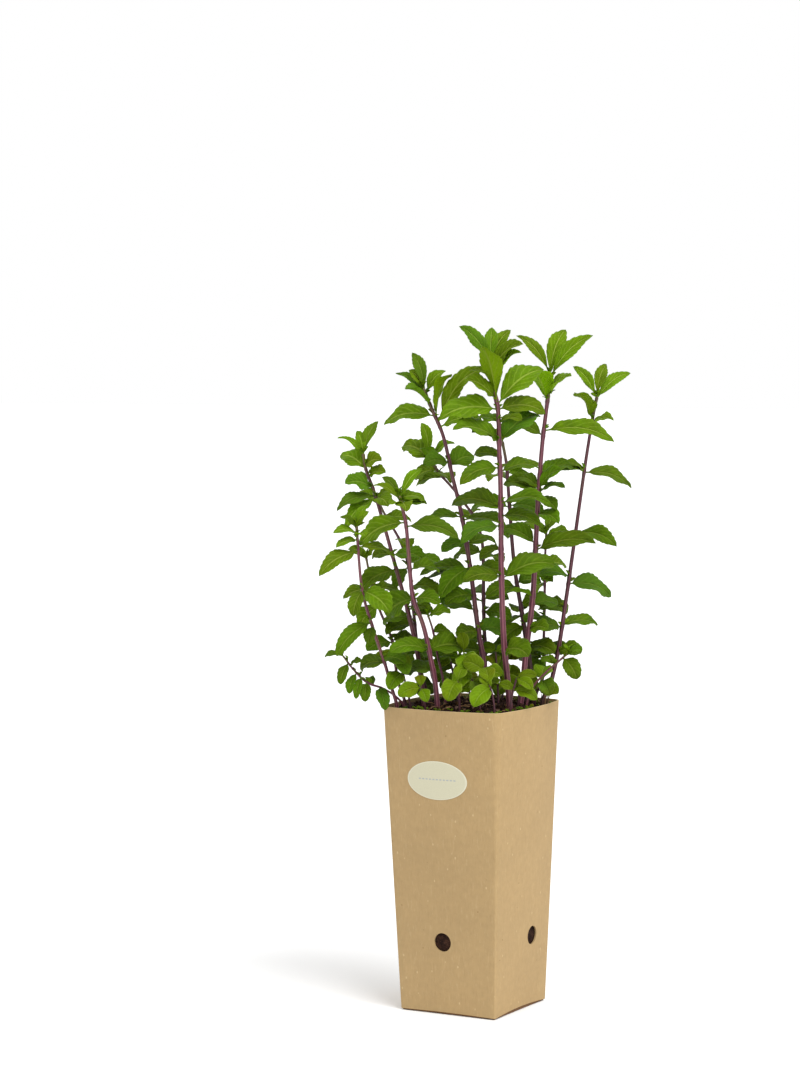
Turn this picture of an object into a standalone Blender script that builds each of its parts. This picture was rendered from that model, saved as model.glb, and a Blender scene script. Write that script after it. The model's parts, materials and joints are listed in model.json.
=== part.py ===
"""Potted calamint: leafy square stems in soil, in a tall folded carton pot with an oval label.

Lengths below are in millimetres and turned into metres as each mesh is made. The origin is the
middle of the pot's underside, +Z is up and the label is on the -Y wall.

The plant is measured square to a line of sight: across to the right, away from the eye, and up.
Headings go anticlockwise from above: 0 is right, 90 away, 180 left and 270 towards the eye.
Each tall stem has a name, its width at the foot and the top, where it stands (across, away), how
far its top leans away from the eye, its way points (across, away, up) and its leaves. A leaf is the
height of its root, its heading, length, rise from root to tip, width, and how far its face turns to
the eye in degrees.
"""

import math

import bpy
import numpy as np
from mathutils.bvhtree import BVHTree

MM = 0.001
SEED = 11

# Carton pot: the walls widen upwards and bulge, most at the rim.
POT_HEIGHT = 300.0
POT_BASE_HALF = 52.6
POT_RIM_HALF = 64.5
RIM_BULGE = 7.4
BULGE_POWER = 1.6
BOARD = 1.6
BASE_THICK = 3.0
WALL_LIFT = 1.2
CORNER_BASE = 2.0
CORNER_RIM = 7.5
WALL_STEPS = 6
WALL_LEVELS = (1.2, 75.0, 190.0, 300.0)
HOLE_RADIUS = 9.2
HOLE_HEIGHT = 71.5
HOLE_OFFSETS = (-3.0, 18.0, 3.0, -18.0)

# Oval label on the -Y wall.
LABEL_WIDE = 66.0
LABEL_TALL = 38.0
LABEL_ACROSS = -2.5
LABEL_HEIGHT = 231.5
LABEL_THICK = 0.4
LABEL_SIDES = 24

# Soil, with a plain hole for each stem.
FIT_GAP = 0.3
SOIL_EDGE = 296.0
SOIL_CROWN = 299.0
STEM_DATUM = 298.0
STEM_DEPTH = 24.0
FOOT_RISE = 3.0
SPRIG_DEPTH = 12.0
HOLE_GAP = 0.35

# Line of sight
SIGHT_TURN = 29.0
EYE_DISTANCE = 3036.0
EYE_HEIGHT = 668.0

# Leaf blade
RIB_HALF_THICK = 0.75
STALK_HALF = 0.8
STALK_SHARE = 0.10
ROUND_BELOW = 440.0
ROUND_BAND = 80.0
FOLD = 17.0
BOW = 0.105
TOOTH = 0.075
CLEARANCE = 0.45
SMALL_LEAF = 33.0
PAIR_TURN = 36.0
PAIR_GAP = 9.0
LONGEST_LEAF = 60.0

# Tall stems and their leaves
STEMS = (
    (
        "leafy_stem_01_front",
        (5.0, 3.2),
        (37, -30),
        -20,
        (
            (36, -31, 313), (32, -35, 357), (30, -38, 411), (29, -42, 524),
            (28, -43, 554), (27, -43, 589), (21, -43, 619), (20, -43, 634),
        ),
        (
            (593, 262, 70, 62, 23, 0),
            (592, 334, 62, 34, 27, 52),
            (588, 192, 58, -8, 29, 55),
            (588, 350, 48, -5, 23, 52),
            (598, 142, 44, 20, 20, 50),
            (632, 186, 47, 36, 15, 66),
            (632, 80, 38, 36, 14, 58),
            (630, 28, 42, 36, 14, 58),
            (626, 335, 43, 27, 18, 50),
            (622, 10, 36, 22, 14, 48),
            (620, 180, 22, 6, 10, 40),
            (556, 206, 32, 17, 22, 38),
            (576, 206, 24, 2, 18, 30),
            (576, 330, 26, 2, 18, 30),
            (558, 170, 46, 12, 26, 48),
            (556, 22, 52, 26, 28, 45),
            (541, 190, 26, 2, 17, 45),
            (531, 190, 42, -13, 20, 48),
            (527, 24, 44, 2, 19, 35),
            (492, 196, 52, 2, 26, 50),
            (496, 344, 50, 2, 20, 42),
            (474, 162, 44, -12, 24, 38),
            (484, 26, 42, -8, 22, 38),
            (452, 200, 26, -13, 17, 45),
            (422, 350, 57, 14, 25, 50),
            (424, 186, 37, -2, 21, 50),
            (352, 312, 34, -2, 26, 55),
        ),
    ),
    (
        "leafy_stem_02_right",
        (5.0, 3.0),
        (48, -10),
        -12,
        (
            (50, -10, 313), (52, -8, 337), (60, -4, 401), (63, -2, 447),
            (66, 0, 500), (71, 3, 561), (76, 5, 601), (78, 6, 623),
        ),
        (
            (618, 50, 56, 50, 18, 68),
            (617, 352, 60, 42, 16, 58),
            (622, 180, 50, 38, 13, 58),
            (596, 240, 44, 30, 30, 5),
            (600, 318, 37, 22, 24, 25),
            (562, 172, 37, 9, 17, 38),
            (567, 356, 70, -10, 22, 45),
            (523, 20, 38, 8, 21, 40),
            (510, 200, 26, 12, 16, 35),
            (510, 338, 30, 20, 18, 45),
            (507, 318, 34, 6, 14, 30),
            (508, 180, 36, 6, 20, 45),
            (500, 320, 25, -9, 17, 40),
            (486, 318, 28, -8, 20, 45),
            (456, 172, 40, 14, 21, 38),
            (450, 348, 60, 7, 23, 46),
            (396, 22, 30, -2, 24, 42),
            (405, 200, 30, 4, 14, -20),
            (372, 40, 24, 2, 19, 42),
        ),
    ),
    (
        "leafy_stem_03_far_right",
        (3.8, 2.4),
        (70, 16),
        34,
        (
            (77, 17, 318), (82, 17, 337), (92, 16, 396), (100, 14, 450),
            (107, 12, 499), (114, 9, 546), (119, 5, 576), (124, 3, 601),
        ),
        (
            (598, 182, 39, 31, 12, 58),
            (600, 42, 36, 33, 13, 70),
            (598, 352, 43, 24, 13, 58),
            (577, 226, 37, 29, 28, 10),
            (573, 328, 26, 6, 18, 30),
            (527, 190, 32, 2, 15, 42),
            (528, 150, 26, 8, 12, 42),
            (526, 352, 53, -18, 18, 48),
            (467, 6, 42, -11, 20, 45),
            (424, 168, 30, 4, 19, 42),
            (417, 352, 48, -17, 23, 52),
            (376, 350, 37, -2, 17, 48),
            (394, 188, 26, -4, 22, 35),
            (374, 192, 28, 0, 20, 50),
            (350, 330, 26, 0, 20, 50),
            (350, 205, 22, -2, 18, 50),
        ),
    ),
    (
        "leafy_stem_04_front_left",
        (4.4, 2.6),
        (-34, -28),
        -18,
        (
            (-36, -28, 321), (-40, -28, 343), (-49, -30, 382), (-55, -31, 397),
            (-61, -32, 446), (-64, -33, 479), (-70, -34, 505),
        ),
        (
            (501, 20, 37, 29, 11, 55),
            (501, 172, 28, 22, 10, 50),
            (499, 188, 30, 17, 10, 45),
            (497, 286, 24, -6, 18, 35),
            (495, 25, 27, 0, 13, 40),
            (493, 236, 22, 4, 14, 20),
            (502, 350, 26, -4, 16, 42),
            (478, 200, 54, -24, 24, 55),
            (474, 342, 54, -10, 20, 48),
            (432, 30, 34, -4, 22, 35),
            (403, 220, 42, -20, 29, 55),
            (403, 332, 28, -4, 20, 50),
            (352, 190, 38, 3, 20, 50),
            (332, 196, 28, -4, 22, 45),
            (352, 332, 38, 0, 28, 58),
        ),
    ),
    (
        "leafy_stem_05_centre",
        (4.6, 2.6),
        (9, 4),
        10,
        (
            (12, 4, 335), (7, 4, 369), (-1, 4, 434), (-10, 3, 490),
            (-18, 2, 524), (-28, 0, 567), (-37, -2, 588), (-46, -3, 610),
        ),
        (
            (606, 135, 42, 38, 13, 60),
            (605, 186, 35, 19, 9, 50),
            (605, 160, 28, 22, 11, 50),
            (593, 212, 38, 23, 24, 28),
            (603, 345, 31, 24, 14, 50),
            (582, 196, 55, -8, 22, 52),
            (580, 314, 50, 46, 20, 8),
            (575, 334, 73, 55, 22, 50),
            (571, 342, 45, 8, 17, 50),
            (533, 330, 29, 8, 26, 48),
            (536, 208, 28, 0, 20, 48),
            (483, 174, 45, -12, 19, 40),
            (480, 2, 44, -6, 22, 35),
            (458, 196, 26, -8, 18, 35),
            (456, 20, 34, 0, 20, 35),
            (430, 172, 52, -6, 19, 40),
            (424, 176, 46, -4, 18, 35),
            (434, 224, 48, -28, 23, 50),
            (428, 10, 36, 0, 20, 40),
            (406, 200, 30, -6, 20, 45),
            (391, 184, 38, 0, 18, 40),
            (372, 330, 30, -4, 24, 50),
            (370, 205, 26, -4, 21, 50),
            (350, 172, 24, -2, 20, 40),
        ),
    ),
    (
        "leafy_stem_06_centre_back",
        (3.8, 2.0),
        (12, 42),
        34,
        (
            (13, 43, 325), (12, 43, 401), (12, 42, 438), (11, 41, 458), (4, 38, 482),
            (-5, 34, 495), (-19, 25, 513), (-27, 21, 522), (-33, 17, 530), (-42, 13, 543),
        ),
        (
            (541, 125, 38, 36, 12, 60),
            (539, 186, 33, 15, 28, 45),
            (539, 352, 30, 18, 14, 45),
            (538, 250, 22, 14, 18, 15),
            (529, 202, 27, -10, 20, 45),
            (526, 300, 24, -8, 20, 10),
            (522, 206, 32, -9, 17, 42),
            (486, 95, 40, -6, 22, 10),
            (442, 60, 40, -6, 22, 10),
            (448, 200, 34, -8, 20, 40),
            (408, 120, 36, -6, 22, 10),
            (390, 345, 28, -6, 20, 45),
            (402, 6, 26, -2, 16, 40),
            (400, 186, 40, -2, 18, 38),
            (362, 190, 28, -4, 20, 45),
            (350, 10, 26, -2, 20, 40),
        ),
    ),
    (
        "leafy_stem_07_left",
        (4.2, 2.4),
        (-47, 0),
        26,
        (
            (-49, 0, 316), (-52, 0, 342), (-62, 1, 390), (-73, 2, 431),
            (-86, 3, 479), (-95, 4, 510), (-103, 4, 533), (-105, 4, 547),
        ),
        (
            (545, 40, 38, 33, 12, 55),
            (544, 125, 27, 24, 11, 50),
            (545, 186, 30, 18, 9, 48),
            (530, 208, 35, 15, 22, 48),
            (534, 335, 19, 6, 20, 45),
            (524, 345, 18, 4, 16, 45),
            (512, 212, 33, 18, 23, 48),
            (504, 190, 40, -12, 16, 48),
            (502, 300, 26, -6, 21, 45),
            (502, 168, 42, -28, 17, 38),
            (446, 20, 36, -4, 22, 40),
            (446, 190, 22, -4, 16, 42),
            (432, 202, 42, -20, 23, 52),
            (392, 30, 28, -4, 18, 40),
            (385, 200, 28, -8, 19, 45),
        ),
    ),
    (
        "leafy_stem_08_far_left",
        (3.0, 2.0),
        (-74, -20),
        -20,
        (
            (-79, -21, 316), (-84, -22, 335), (-96, -24, 372), (-107, -26, 412),
            (-110, -27, 443), (-112, -28, 476),
        ),
        (
            (474, 30, 24, 21, 9, 50),
            (473, 350, 20, 16, 9, 45),
            (472, 170, 20, 13, 9, 45),
            (468, 200, 24, 2, 12, 40),
            (466, 300, 18, 0, 14, 25),
            (461, 196, 22, -6, 11, 40),
            (450, 192, 43, -22, 18, 50),
            (454, 352, 38, -7, 15, 38),
            (411, 230, 28, -24, 16, 25),
            (411, 332, 36, -20, 25, 52),
            (380, 200, 46, -30, 17, 55),
            (376, 256, 22, -16, 13, 20),
            (340, 204, 28, -8, 21, 48),
            (345, 335, 24, -4, 19, 45),
        ),
    ),
    (
        "leafy_stem_09_left_back",
        (2.8, 1.8),
        (-66, 6),
        34,
        ((-72, 8, 320), (-78, 9, 362), (-91, 11, 395), (-99, 13, 424), (-103, 14, 445)),
        (
            (443, 40, 22, 12, 12, 45),
            (442, 175, 22, 10, 12, 45),
            (412, 180, 30, -7, 16, 45),
            (412, 10, 28, -6, 18, 40),
            (362, 20, 26, -4, 18, 40),
            (396, 205, 28, -20, 21, 40),
            (360, 185, 26, -6, 18, 45),
            (340, 20, 24, -2, 19, 45),
        ),
    ),
    (
        "leafy_stem_10_back",
        (4.2, 2.4),
        (54, 22),
        28,
        ((57, 25, 318), (52, 29, 372), (43, 34, 430), (37, 38, 508), (35, 40, 536), (31, 42, 558)),
        (
            (556, 80, 26, 18, 14, 30),
            (555, 220, 20, 12, 12, 30),
            (530, 4, 36, 0, 18, 42),
            (526, 350, 26, -8, 19, 45),
            (520, 115, 44, -4, 23, 10),
            (494, 10, 36, -8, 22, 40),
            (492, 185, 42, -8, 21, 40),
            (468, 95, 46, -8, 24, 0),
            (430, 20, 40, -8, 22, 40),
            (414, 194, 34, -8, 20, 40),
            (418, 350, 26, -2, 20, 40),
            (392, 95, 36, -6, 22, 10),
            (386, 200, 26, -18, 24, 15),
            (376, 205, 27, -10, 22, 30),
            (355, 20, 30, -4, 21, 40),
            (355, 190, 30, -4, 21, 40),
        ),
    ),
    (
        "leafy_stem_11_right_back",
        (2.8, 1.8),
        (60, 29),
        26,
        ((69, 32, 322), (71, 37, 365), (72, 40, 410), (73, 42, 452), (74, 43, 468)),
        (
            (466, 60, 26, 18, 12, 50),
            (465, 190, 26, 12, 14, 45),
            (464, 330, 26, 4, 16, 40),
            (416, 200, 26, -4, 18, 40),
            (436, 20, 24, -4, 18, 40),
            (425, 90, 34, -6, 20, 10),
            (392, 350, 26, -4, 22, 50),
            (400, 175, 22, -2, 18, 50),
            (384, 190, 26, -6, 20, 35),
            (352, 20, 24, -2, 20, 50),
            (344, 185, 24, -2, 19, 45),
        ),
    ),
    (
        "leafy_stem_12_inner_left",
        (3.4, 2.0),
        (-42, 22),
        36,
        ((-46, 22, 316), (-58, 22, 402), (-63, 23, 442), (-69, 24, 459), (-83, 24, 484), (-90, 24, 497)),
        (
            (495, 50, 26, 18, 12, 48),
            (494, 170, 26, 14, 12, 45),
            (493, 110, 26, 12, 14, 20),
            (482, 350, 26, -4, 16, 40),
            (478, 100, 36, -4, 20, 10),
            (462, 300, 24, -10, 20, 10),
            (438, 8, 38, -6, 23, 42),
            (434, 205, 24, -20, 18, 25),
            (415, 20, 36, -6, 21, 42),
            (378, 190, 30, -3, 19, 40),
            (350, 10, 28, -4, 21, 45),
            (350, 190, 26, -4, 20, 45),
        ),
    ),
    (
        "leafy_stem_13_thin",
        (2.2, 1.6),
        (-26, -8),
        0,
        ((-28, -8, 322), (-33, -8, 345), (-39, -8, 376), (-43, -8, 388)),
        (
            (387, 150, 20, 6, 14, 45),
            (386, 340, 22, 4, 15, 45),
            (370, 30, 20, -2, 15, 45),
            (345, 20, 20, 2, 15, 45),
            (354, 200, 22, -2, 17, 45),
        ),
    ),
    (
        "leafy_stem_14_left_runner",
        (2.2, 1.5),
        (-68, -14),
        0,
        (
            (-74, -16, 306), (-88, -18, 315), (-102, -21, 320),
            (-114, -24, 331), (-122, -26, 341), (-127, -27, 348),
        ),
        (
            (347, 184, 20, -2, 8, 45),
            (340, 232, 23, -20, 11, 35),
            (338, 40, 16, 4, 10, 40),
            (330, 216, 22, -20, 10, 35),
            (326, 250, 24, -20, 9, 25),
            (321, 260, 21, -18, 12, 35),
            (318, 120, 18, 4, 12, 30),
            (316, 284, 30, -20, 14, 38),
        ),
    ),
    (
        "leafy_stem_15_right_runner",
        (2.0, 1.5),
        (54, -14),
        0,
        ((58, -15, 312), (72, -18, 329), (87, -22, 342), (95, -24, 349)),
        (
            (348, 20, 16, 5, 12, 45),
            (344, 322, 26, -20, 18, 55),
            (338, 200, 16, 4, 12, 45),
        ),
    ),
)

# Short sprigs of round leaves between the tall stems: across, away, height of the tip, lean, and
# the leaves measured on the front ones. A sprig without them takes its leaves by a rule.
SPRIGS = (
    (-61, -20, 351, 170, (
        (347, 208, 24, -13, 15, 60), (349, 300, 28, -19, 17, 60), (350, 40, 17, 5, 11, 55),
        (330, 236, 26, -14, 18, 60), (328, 60, 20, 8, 14, 60),
    )),
    (-46, -40, 317, 200, (
        (315, 200, 24, -7, 17, 70), (314, 292, 18, -11, 13, 60), (316, 95, 16, 10, 12, 60),
    )),
    (-12, -52, 323, 250, ((322, 243, 27, -17, 21, 60), (322, 70, 19, 10, 14, 60))),
    (22, -66, 318, 170, (
        (315, 226, 28, -16, 20, 60), (318, 104, 22, 15, 17, 60), (308, 184, 22, -2, 12, 62),
        (312, 150, 19, 14, 11, 60),
    )),
    (38, -50, 325, 20, (
        (323, 322, 21, -8, 12, 60), (325, 14, 20, 1, 10, 62), (313, 336, 26, -9, 14, 62),
        (313, 186, 15, 5, 10, 60),
    )),
    (5, -20, 351, 170, (
        (350, 284, 30, -20, 23, 60), (350, 150, 20, 8, 13, 55), (333, 238, 27, -17, 20, 60),
        (333, 50, 19, 6, 14, 60), (316, 205, 20, -3, 14, 62), (316, 340, 21, 1, 14, 62),
    )),
    (-14, 18, 350, 130, ()),
    (30, 34, 356, 60, ()),
    (-2, 60, 340, 110, ()),
    (-34, 42, 350, 150, ()),
    (46, 34, 338, 40, ()),
    (62, -4, 323, 0, ()),
    (26, 8, 352, 100, ()),
    (8, -46, 332, 60, ()),
)
SPRIG_WIDTHS = (1.9, 1.4)
SPRIG_START = 5.0
SPRIG_LEAF = 28.0
SPRIG_SIZES = (0.66, 1.04)
SPRIG_ROUND = 0.86
SPRIG_TURN = 87.0
SPRIG_STEP = 17.0
SPRIG_NOD = 0.4
SPRIG_FACES = (45.0, 75.0)


def in_row(across, away, up):
    """Turns a place measured along the line of sight into the part's own axes, for its depth."""
    scale = 1.0 + away / EYE_DISTANCE
    right = across * scale
    height = EYE_HEIGHT + (up - EYE_HEIGHT) * scale
    turn = math.radians(SIGHT_TURN)
    x = right * math.cos(turn) - away * math.sin(turn)
    y = right * math.sin(turn) + away * math.cos(turn)
    return np.array([x, y, height])


def direction(heading):
    """The level unit vector of a heading."""
    angle = math.radians(heading + SIGHT_TURN)
    return np.array([math.cos(angle), math.sin(angle), 0.0])


def unit(vector):
    return vector / np.linalg.norm(vector)


def add_mesh(name, points, faces, material=None):
    """A mesh object from points in millimetres."""
    mesh = bpy.data.meshes.new(name)
    mesh.from_pydata((np.asarray(points) * MM).tolist(), [], [list(map(int, face)) for face in faces])
    mesh.validate()
    obj = bpy.data.objects.new(name, mesh)
    bpy.context.scene.collection.objects.link(obj)
    if material:
        mesh.materials.append(material)
    return obj


def plain_material(name, colour, roughness):
    material = bpy.data.materials.new(name)
    material.use_nodes = True
    shader = material.node_tree.nodes["Principled BSDF"]
    shader.inputs["Base Color"].default_value = (*colour, 1.0)
    shader.inputs["Roughness"].default_value = roughness
    return material


def apply_modifiers(obj):
    """Writes the object's modifiers into its mesh."""
    graph = bpy.context.evaluated_depsgraph_get()
    mesh = bpy.data.meshes.new_from_object(obj.evaluated_get(graph))
    obj.modifiers.clear()
    old = obj.data
    obj.data = mesh
    bpy.data.meshes.remove(old)


def combine(obj, others, operation, solver):
    """One Boolean with a collection of helpers, applied, and the helpers removed."""
    helpers = bpy.data.collections.new(obj.name + "_helpers")
    bpy.context.scene.collection.children.link(helpers)
    for other in others:
        bpy.context.scene.collection.objects.unlink(other)
        helpers.objects.link(other)
        other.hide_render = True
        other.display_type = "WIRE"
    change = obj.modifiers.new(operation.title(), "BOOLEAN")
    change.operation = operation
    change.operand_type = "COLLECTION"
    change.collection = helpers
    change.solver = solver
    apply_modifiers(obj)
    for other in list(helpers.objects):
        mesh = other.data
        bpy.data.objects.remove(other)
        bpy.data.meshes.remove(mesh)
    bpy.data.collections.remove(helpers)


def pot_section(height, inset):
    """The pot's outline at a height: four bulged walls joined by soft corners, set in evenly."""
    share = height / POT_HEIGHT
    half = POT_BASE_HALF + (POT_RIM_HALF - POT_BASE_HALF) * share
    bulge = RIM_BULGE * share**BULGE_POWER
    corner = CORNER_BASE + (CORNER_RIM - CORNER_BASE) * share**2
    across = np.linspace(-1.0, 1.0, WALL_STEPS + 1) * (half - corner)
    outward = half + bulge * (1.0 - (across / half) ** 2)
    wall = np.stack([across, -outward], axis=1)
    points = []
    for turn in range(4):
        angle = turn * math.pi / 2
        rotation = np.array([[math.cos(angle), -math.sin(angle)], [math.sin(angle), math.cos(angle)]])
        side = wall @ rotation.T
        tip = np.array([half, -half]) @ rotation.T
        end = side[-1]
        start = (wall[0] @ rotation.T) @ np.array([[0.0, 1.0], [-1.0, 0.0]])
        points.extend(side)
        points.append(0.25 * end + 0.5 * tip + 0.25 * start)
    points = np.array(points)
    ahead = np.roll(points, -1, axis=0) - np.roll(points, 1, axis=0)
    normal = np.stack([ahead[:, 1], -ahead[:, 0]], axis=1)
    normal /= np.linalg.norm(normal, axis=1, keepdims=True)
    return points - normal * inset


def stack_sections(sections):
    """A closed skin through a list of (outline, height) rings, with a flat cap at each end.

    Walls that face each other are split along the same diagonals, so their gap stays even.
    """
    count = len(sections[0][0])
    points = [np.column_stack([ring, np.full(count, height)]) for ring, height in sections]
    faces = []
    for level in range(len(sections) - 1):
        rising = sections[level + 1][1] >= sections[level][1]
        for i in range(count):
            j = (i + 1) % count
            low = level * count
            high = low + count
            if rising:
                faces += [(low + i, low + j, high + j), (low + i, high + j, high + i)]
            else:
                faces += [(low + i, low + j, high + i), (low + j, high + j, high + i)]
    last = (len(sections) - 1) * count
    faces.append(tuple(reversed(range(count))))
    faces.append(tuple(last + i for i in range(count)))
    return np.vstack(points), faces


def round_cutter(name, centre, axis, radius, length, sides):
    """A plain cylinder that stands for a drill."""
    axis = unit(np.asarray(axis, float))
    side = unit(np.cross(axis, (0.3, 0.4, 0.86)))
    other = np.cross(axis, side)
    angles = (np.arange(sides) + 0.5) * 2 * math.pi / sides
    ring = radius * (np.outer(np.cos(angles), side) + np.outer(np.sin(angles), other))
    low = ring + centre - axis * length / 2
    high = ring + centre + axis * length / 2
    faces = [(i, (i + 1) % sides, sides + (i + 1) % sides, sides + i) for i in range(sides)]
    faces.append(tuple(reversed(range(sides))))
    faces.append(tuple(sides + i for i in range(sides)))
    return add_mesh(name, np.vstack([low, high]), faces)


def make_pot():
    """The folded carton: walls, base and the round hole low in each wall."""
    sections = [(pot_section(0.0, 1.5), 0.0), (pot_section(WALL_LIFT, 1.5), WALL_LIFT)]
    sections += [(pot_section(height, 0.0), height) for height in WALL_LEVELS]
    inner_levels = [height for height in reversed(WALL_LEVELS) if height > BASE_THICK]
    sections += [(pot_section(height, BOARD), height) for height in inner_levels]
    sections.append((pot_section(BASE_THICK, BOARD), BASE_THICK))
    points, faces = stack_sections(sections)
    pot = add_mesh("carton_pot", points, faces, plain_material("carton", (0.50, 0.36, 0.19), 0.8))
    drills = []
    for wall, offset in enumerate(HOLE_OFFSETS):
        angle = wall * math.pi / 2
        out = np.array([math.sin(angle), -math.cos(angle), 0.0])
        along = np.array([math.cos(angle), math.sin(angle), 0.0])
        centre = out * POT_BASE_HALF + along * offset + np.array([0.0, 0.0, HOLE_HEIGHT])
        drills.append(round_cutter(f"drill_{wall}", centre, out, HOLE_RADIUS, 20.0, 16))
    combine(pot, drills, "DIFFERENCE", "EXACT")
    return pot


def wall_out(across, height):
    """How far out the -Y wall lies at a place on it."""
    share = height / POT_HEIGHT
    half = POT_BASE_HALF + (POT_RIM_HALF - POT_BASE_HALF) * share
    return half + RIM_BULGE * share**BULGE_POWER * (1.0 - (across / half) ** 2)


def make_label():
    """A thin oval that follows the bulge of the wall, a fit gap clear of it."""
    angles = np.arange(LABEL_SIDES) * 2 * math.pi / LABEL_SIDES
    points = []
    for gap in (FIT_GAP, FIT_GAP + LABEL_THICK):
        for ring in (1.0, 0.5):
            for angle in angles:
                across = LABEL_ACROSS + 0.5 * LABEL_WIDE * ring * math.cos(angle)
                height = LABEL_HEIGHT + 0.5 * LABEL_TALL * ring * math.sin(angle)
                points.append((across, -wall_out(across, height) - gap, height))
        points.append((LABEL_ACROSS, -wall_out(LABEL_ACROSS, LABEL_HEIGHT) - gap, LABEL_HEIGHT))
    count = LABEL_SIDES
    front = 2 * count + 1
    faces = []
    for i in range(count):
        j = (i + 1) % count
        faces.append((i, i + front, j + front, j))
        faces.append((i, j, count + j, count + i))
        faces.append((count + i, count + j, 2 * count))
        faces.append((front + j, front + i, front + count + i, front + count + j))
        faces.append((front + count + j, front + count + i, front + 2 * count))
    faces = [tuple(reversed(face)) for face in faces]
    return add_mesh("oval_label", points, faces, plain_material("label_paper", (0.75, 0.71, 0.57), 0.6))


def make_soil(feet):
    """The soil fills the pot below the rim, slightly crowned, with a plain hole for each stem."""
    inset = BOARD + FIT_GAP
    sections = [(pot_section(BASE_THICK + FIT_GAP, inset), BASE_THICK + FIT_GAP)]
    sections += [(pot_section(height, inset), height) for height in WALL_LEVELS[1:-1]]
    below, above = WALL_LEVELS[-2:]
    share = (SOIL_EDGE - below) / (above - below)
    edge = pot_section(below, inset) * (1.0 - share) + pot_section(above, inset) * share
    for share in (1.0, 0.72, 0.36):
        crown = SOIL_EDGE + (SOIL_CROWN - SOIL_EDGE) * (1.0 - share**2)
        sections.append((edge * share, crown))
    points, faces = stack_sections(sections)
    soil = add_mesh("potting_soil", points, faces, plain_material("soil", (0.06, 0.035, 0.02), 0.95))
    drills = []
    for number, (place, depth, radius) in enumerate(feet):
        centre = np.array([place[0], place[1], STEM_DATUM + 10.0 - depth / 2])
        drills.append(round_cutter(f"hole_{number}", centre, (0, 0, 1), radius, 20.0 + depth, 6))
    combine(soil, drills, "DIFFERENCE", "EXACT")
    return soil


def tube(path, widths, swell=0.0):
    """A closed square tube along a path, its sides carried along without twisting."""
    path = np.asarray(path, float)
    ahead = np.gradient(path, axis=0)
    side = unit(np.cross(ahead[0], (0.35, 0.94, 0.0)))
    rings = []
    for point, along, width in zip(path, ahead, widths):
        along = unit(along)
        side = unit(side - along * (side @ along))
        other = np.cross(along, side)
        half = 0.5 * width + swell
        rings += [point + half * (a * side + b * other) for a, b in ((1, 1), (-1, 1), (-1, -1), (1, -1))]
    faces = []
    for ring in range(len(path) - 1):
        for i in range(4):
            low = 4 * ring
            faces.append((low + i, low + (i + 1) % 4, low + 4 + (i + 1) % 4, low + 4 + i))
    faces.append((3, 2, 1, 0))
    last = 4 * (len(path) - 1)
    faces.append((last, last + 1, last + 2, last + 3))
    return np.array(rings), faces


def ease_up(up, top):
    """0 at the soil, rising ever faster to 1 at a stem's top."""
    return ((up - STEM_DATUM) / (top - STEM_DATUM)) ** 1.3


class Stem:
    """A stem's path and widths, and the leaves found for it."""

    def __init__(self, name, widths, foot, lean, way, depth):
        top = way[-1][2]
        rows = [(*foot, STEM_DATUM - depth), (*foot, STEM_DATUM + FOOT_RISE)]
        rows += [(across, away + lean * ease_up(up, top), up) for across, away, up in way]
        self.name = name
        self.depth = depth
        self.rows = np.array(rows, float)
        self.path = np.array([in_row(*row) for row in rows])
        self.path[:2, :2] = in_row(*foot, STEM_DATUM)[:2]
        self.path[:2, 2] = self.rows[:2, 2]
        span = (self.path[:, 2] - self.path[0, 2]) / (self.path[-1, 2] - self.path[0, 2])
        self.widths = widths[0] + (widths[1] - widths[0]) * span
        self.leaves = []

    def root(self, up):
        """The place on the stem's middle line at a measured height."""
        share = np.interp(up, self.rows[:, 2], np.arange(len(self.rows)))
        low = min(int(share), len(self.rows) - 2)
        return self.path[low] + (self.path[low + 1] - self.path[low]) * (share - low)


def midrib(root, leaf, share):
    """Points along a leaf's midrib, a chord from root to tip bowed upwards."""
    heading, length, rise = leaf[1], leaf[2], leaf[3]
    reach = math.sqrt(max(length**2 - rise**2, 0.04 * length**2))
    level = direction(heading)
    chord = level * reach + np.array([0.0, 0.0, rise])
    along = unit(chord)
    lift = unit(np.array([0.0, 0.0, 1.0]) - along * along[2])
    bow = BOW * length * 4.0 * share * (1.0 - share) * (0.8 + 0.4 * share)
    return root + np.outer(share, chord) + np.outer(bow, lift)


def half_width(share, leaf):
    """The blade's outline: a short stalk, then an egg shape.

    It is widest nearer the tip the steeper the leaf stands, and rounder towards the soil.
    """
    up, _, length, rise, width, _ = leaf
    x = np.clip((share - STALK_SHARE) / (1.0 - STALK_SHARE), 0.0, 1.0)
    steep = np.clip((rise / length - 0.35) / 0.4, 0.0, 1.0)
    low = np.clip((ROUND_BELOW - up) / ROUND_BAND, 0.0, 1.0)
    peak = 0.8 + 0.4 * steep + 0.1 * low * (1.0 - steep)
    blunt = 0.78 + 0.12 * steep - 0.24 * low
    return np.maximum(0.5 * width * np.sin(math.pi * x**peak) ** blunt, 0.0)


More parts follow.
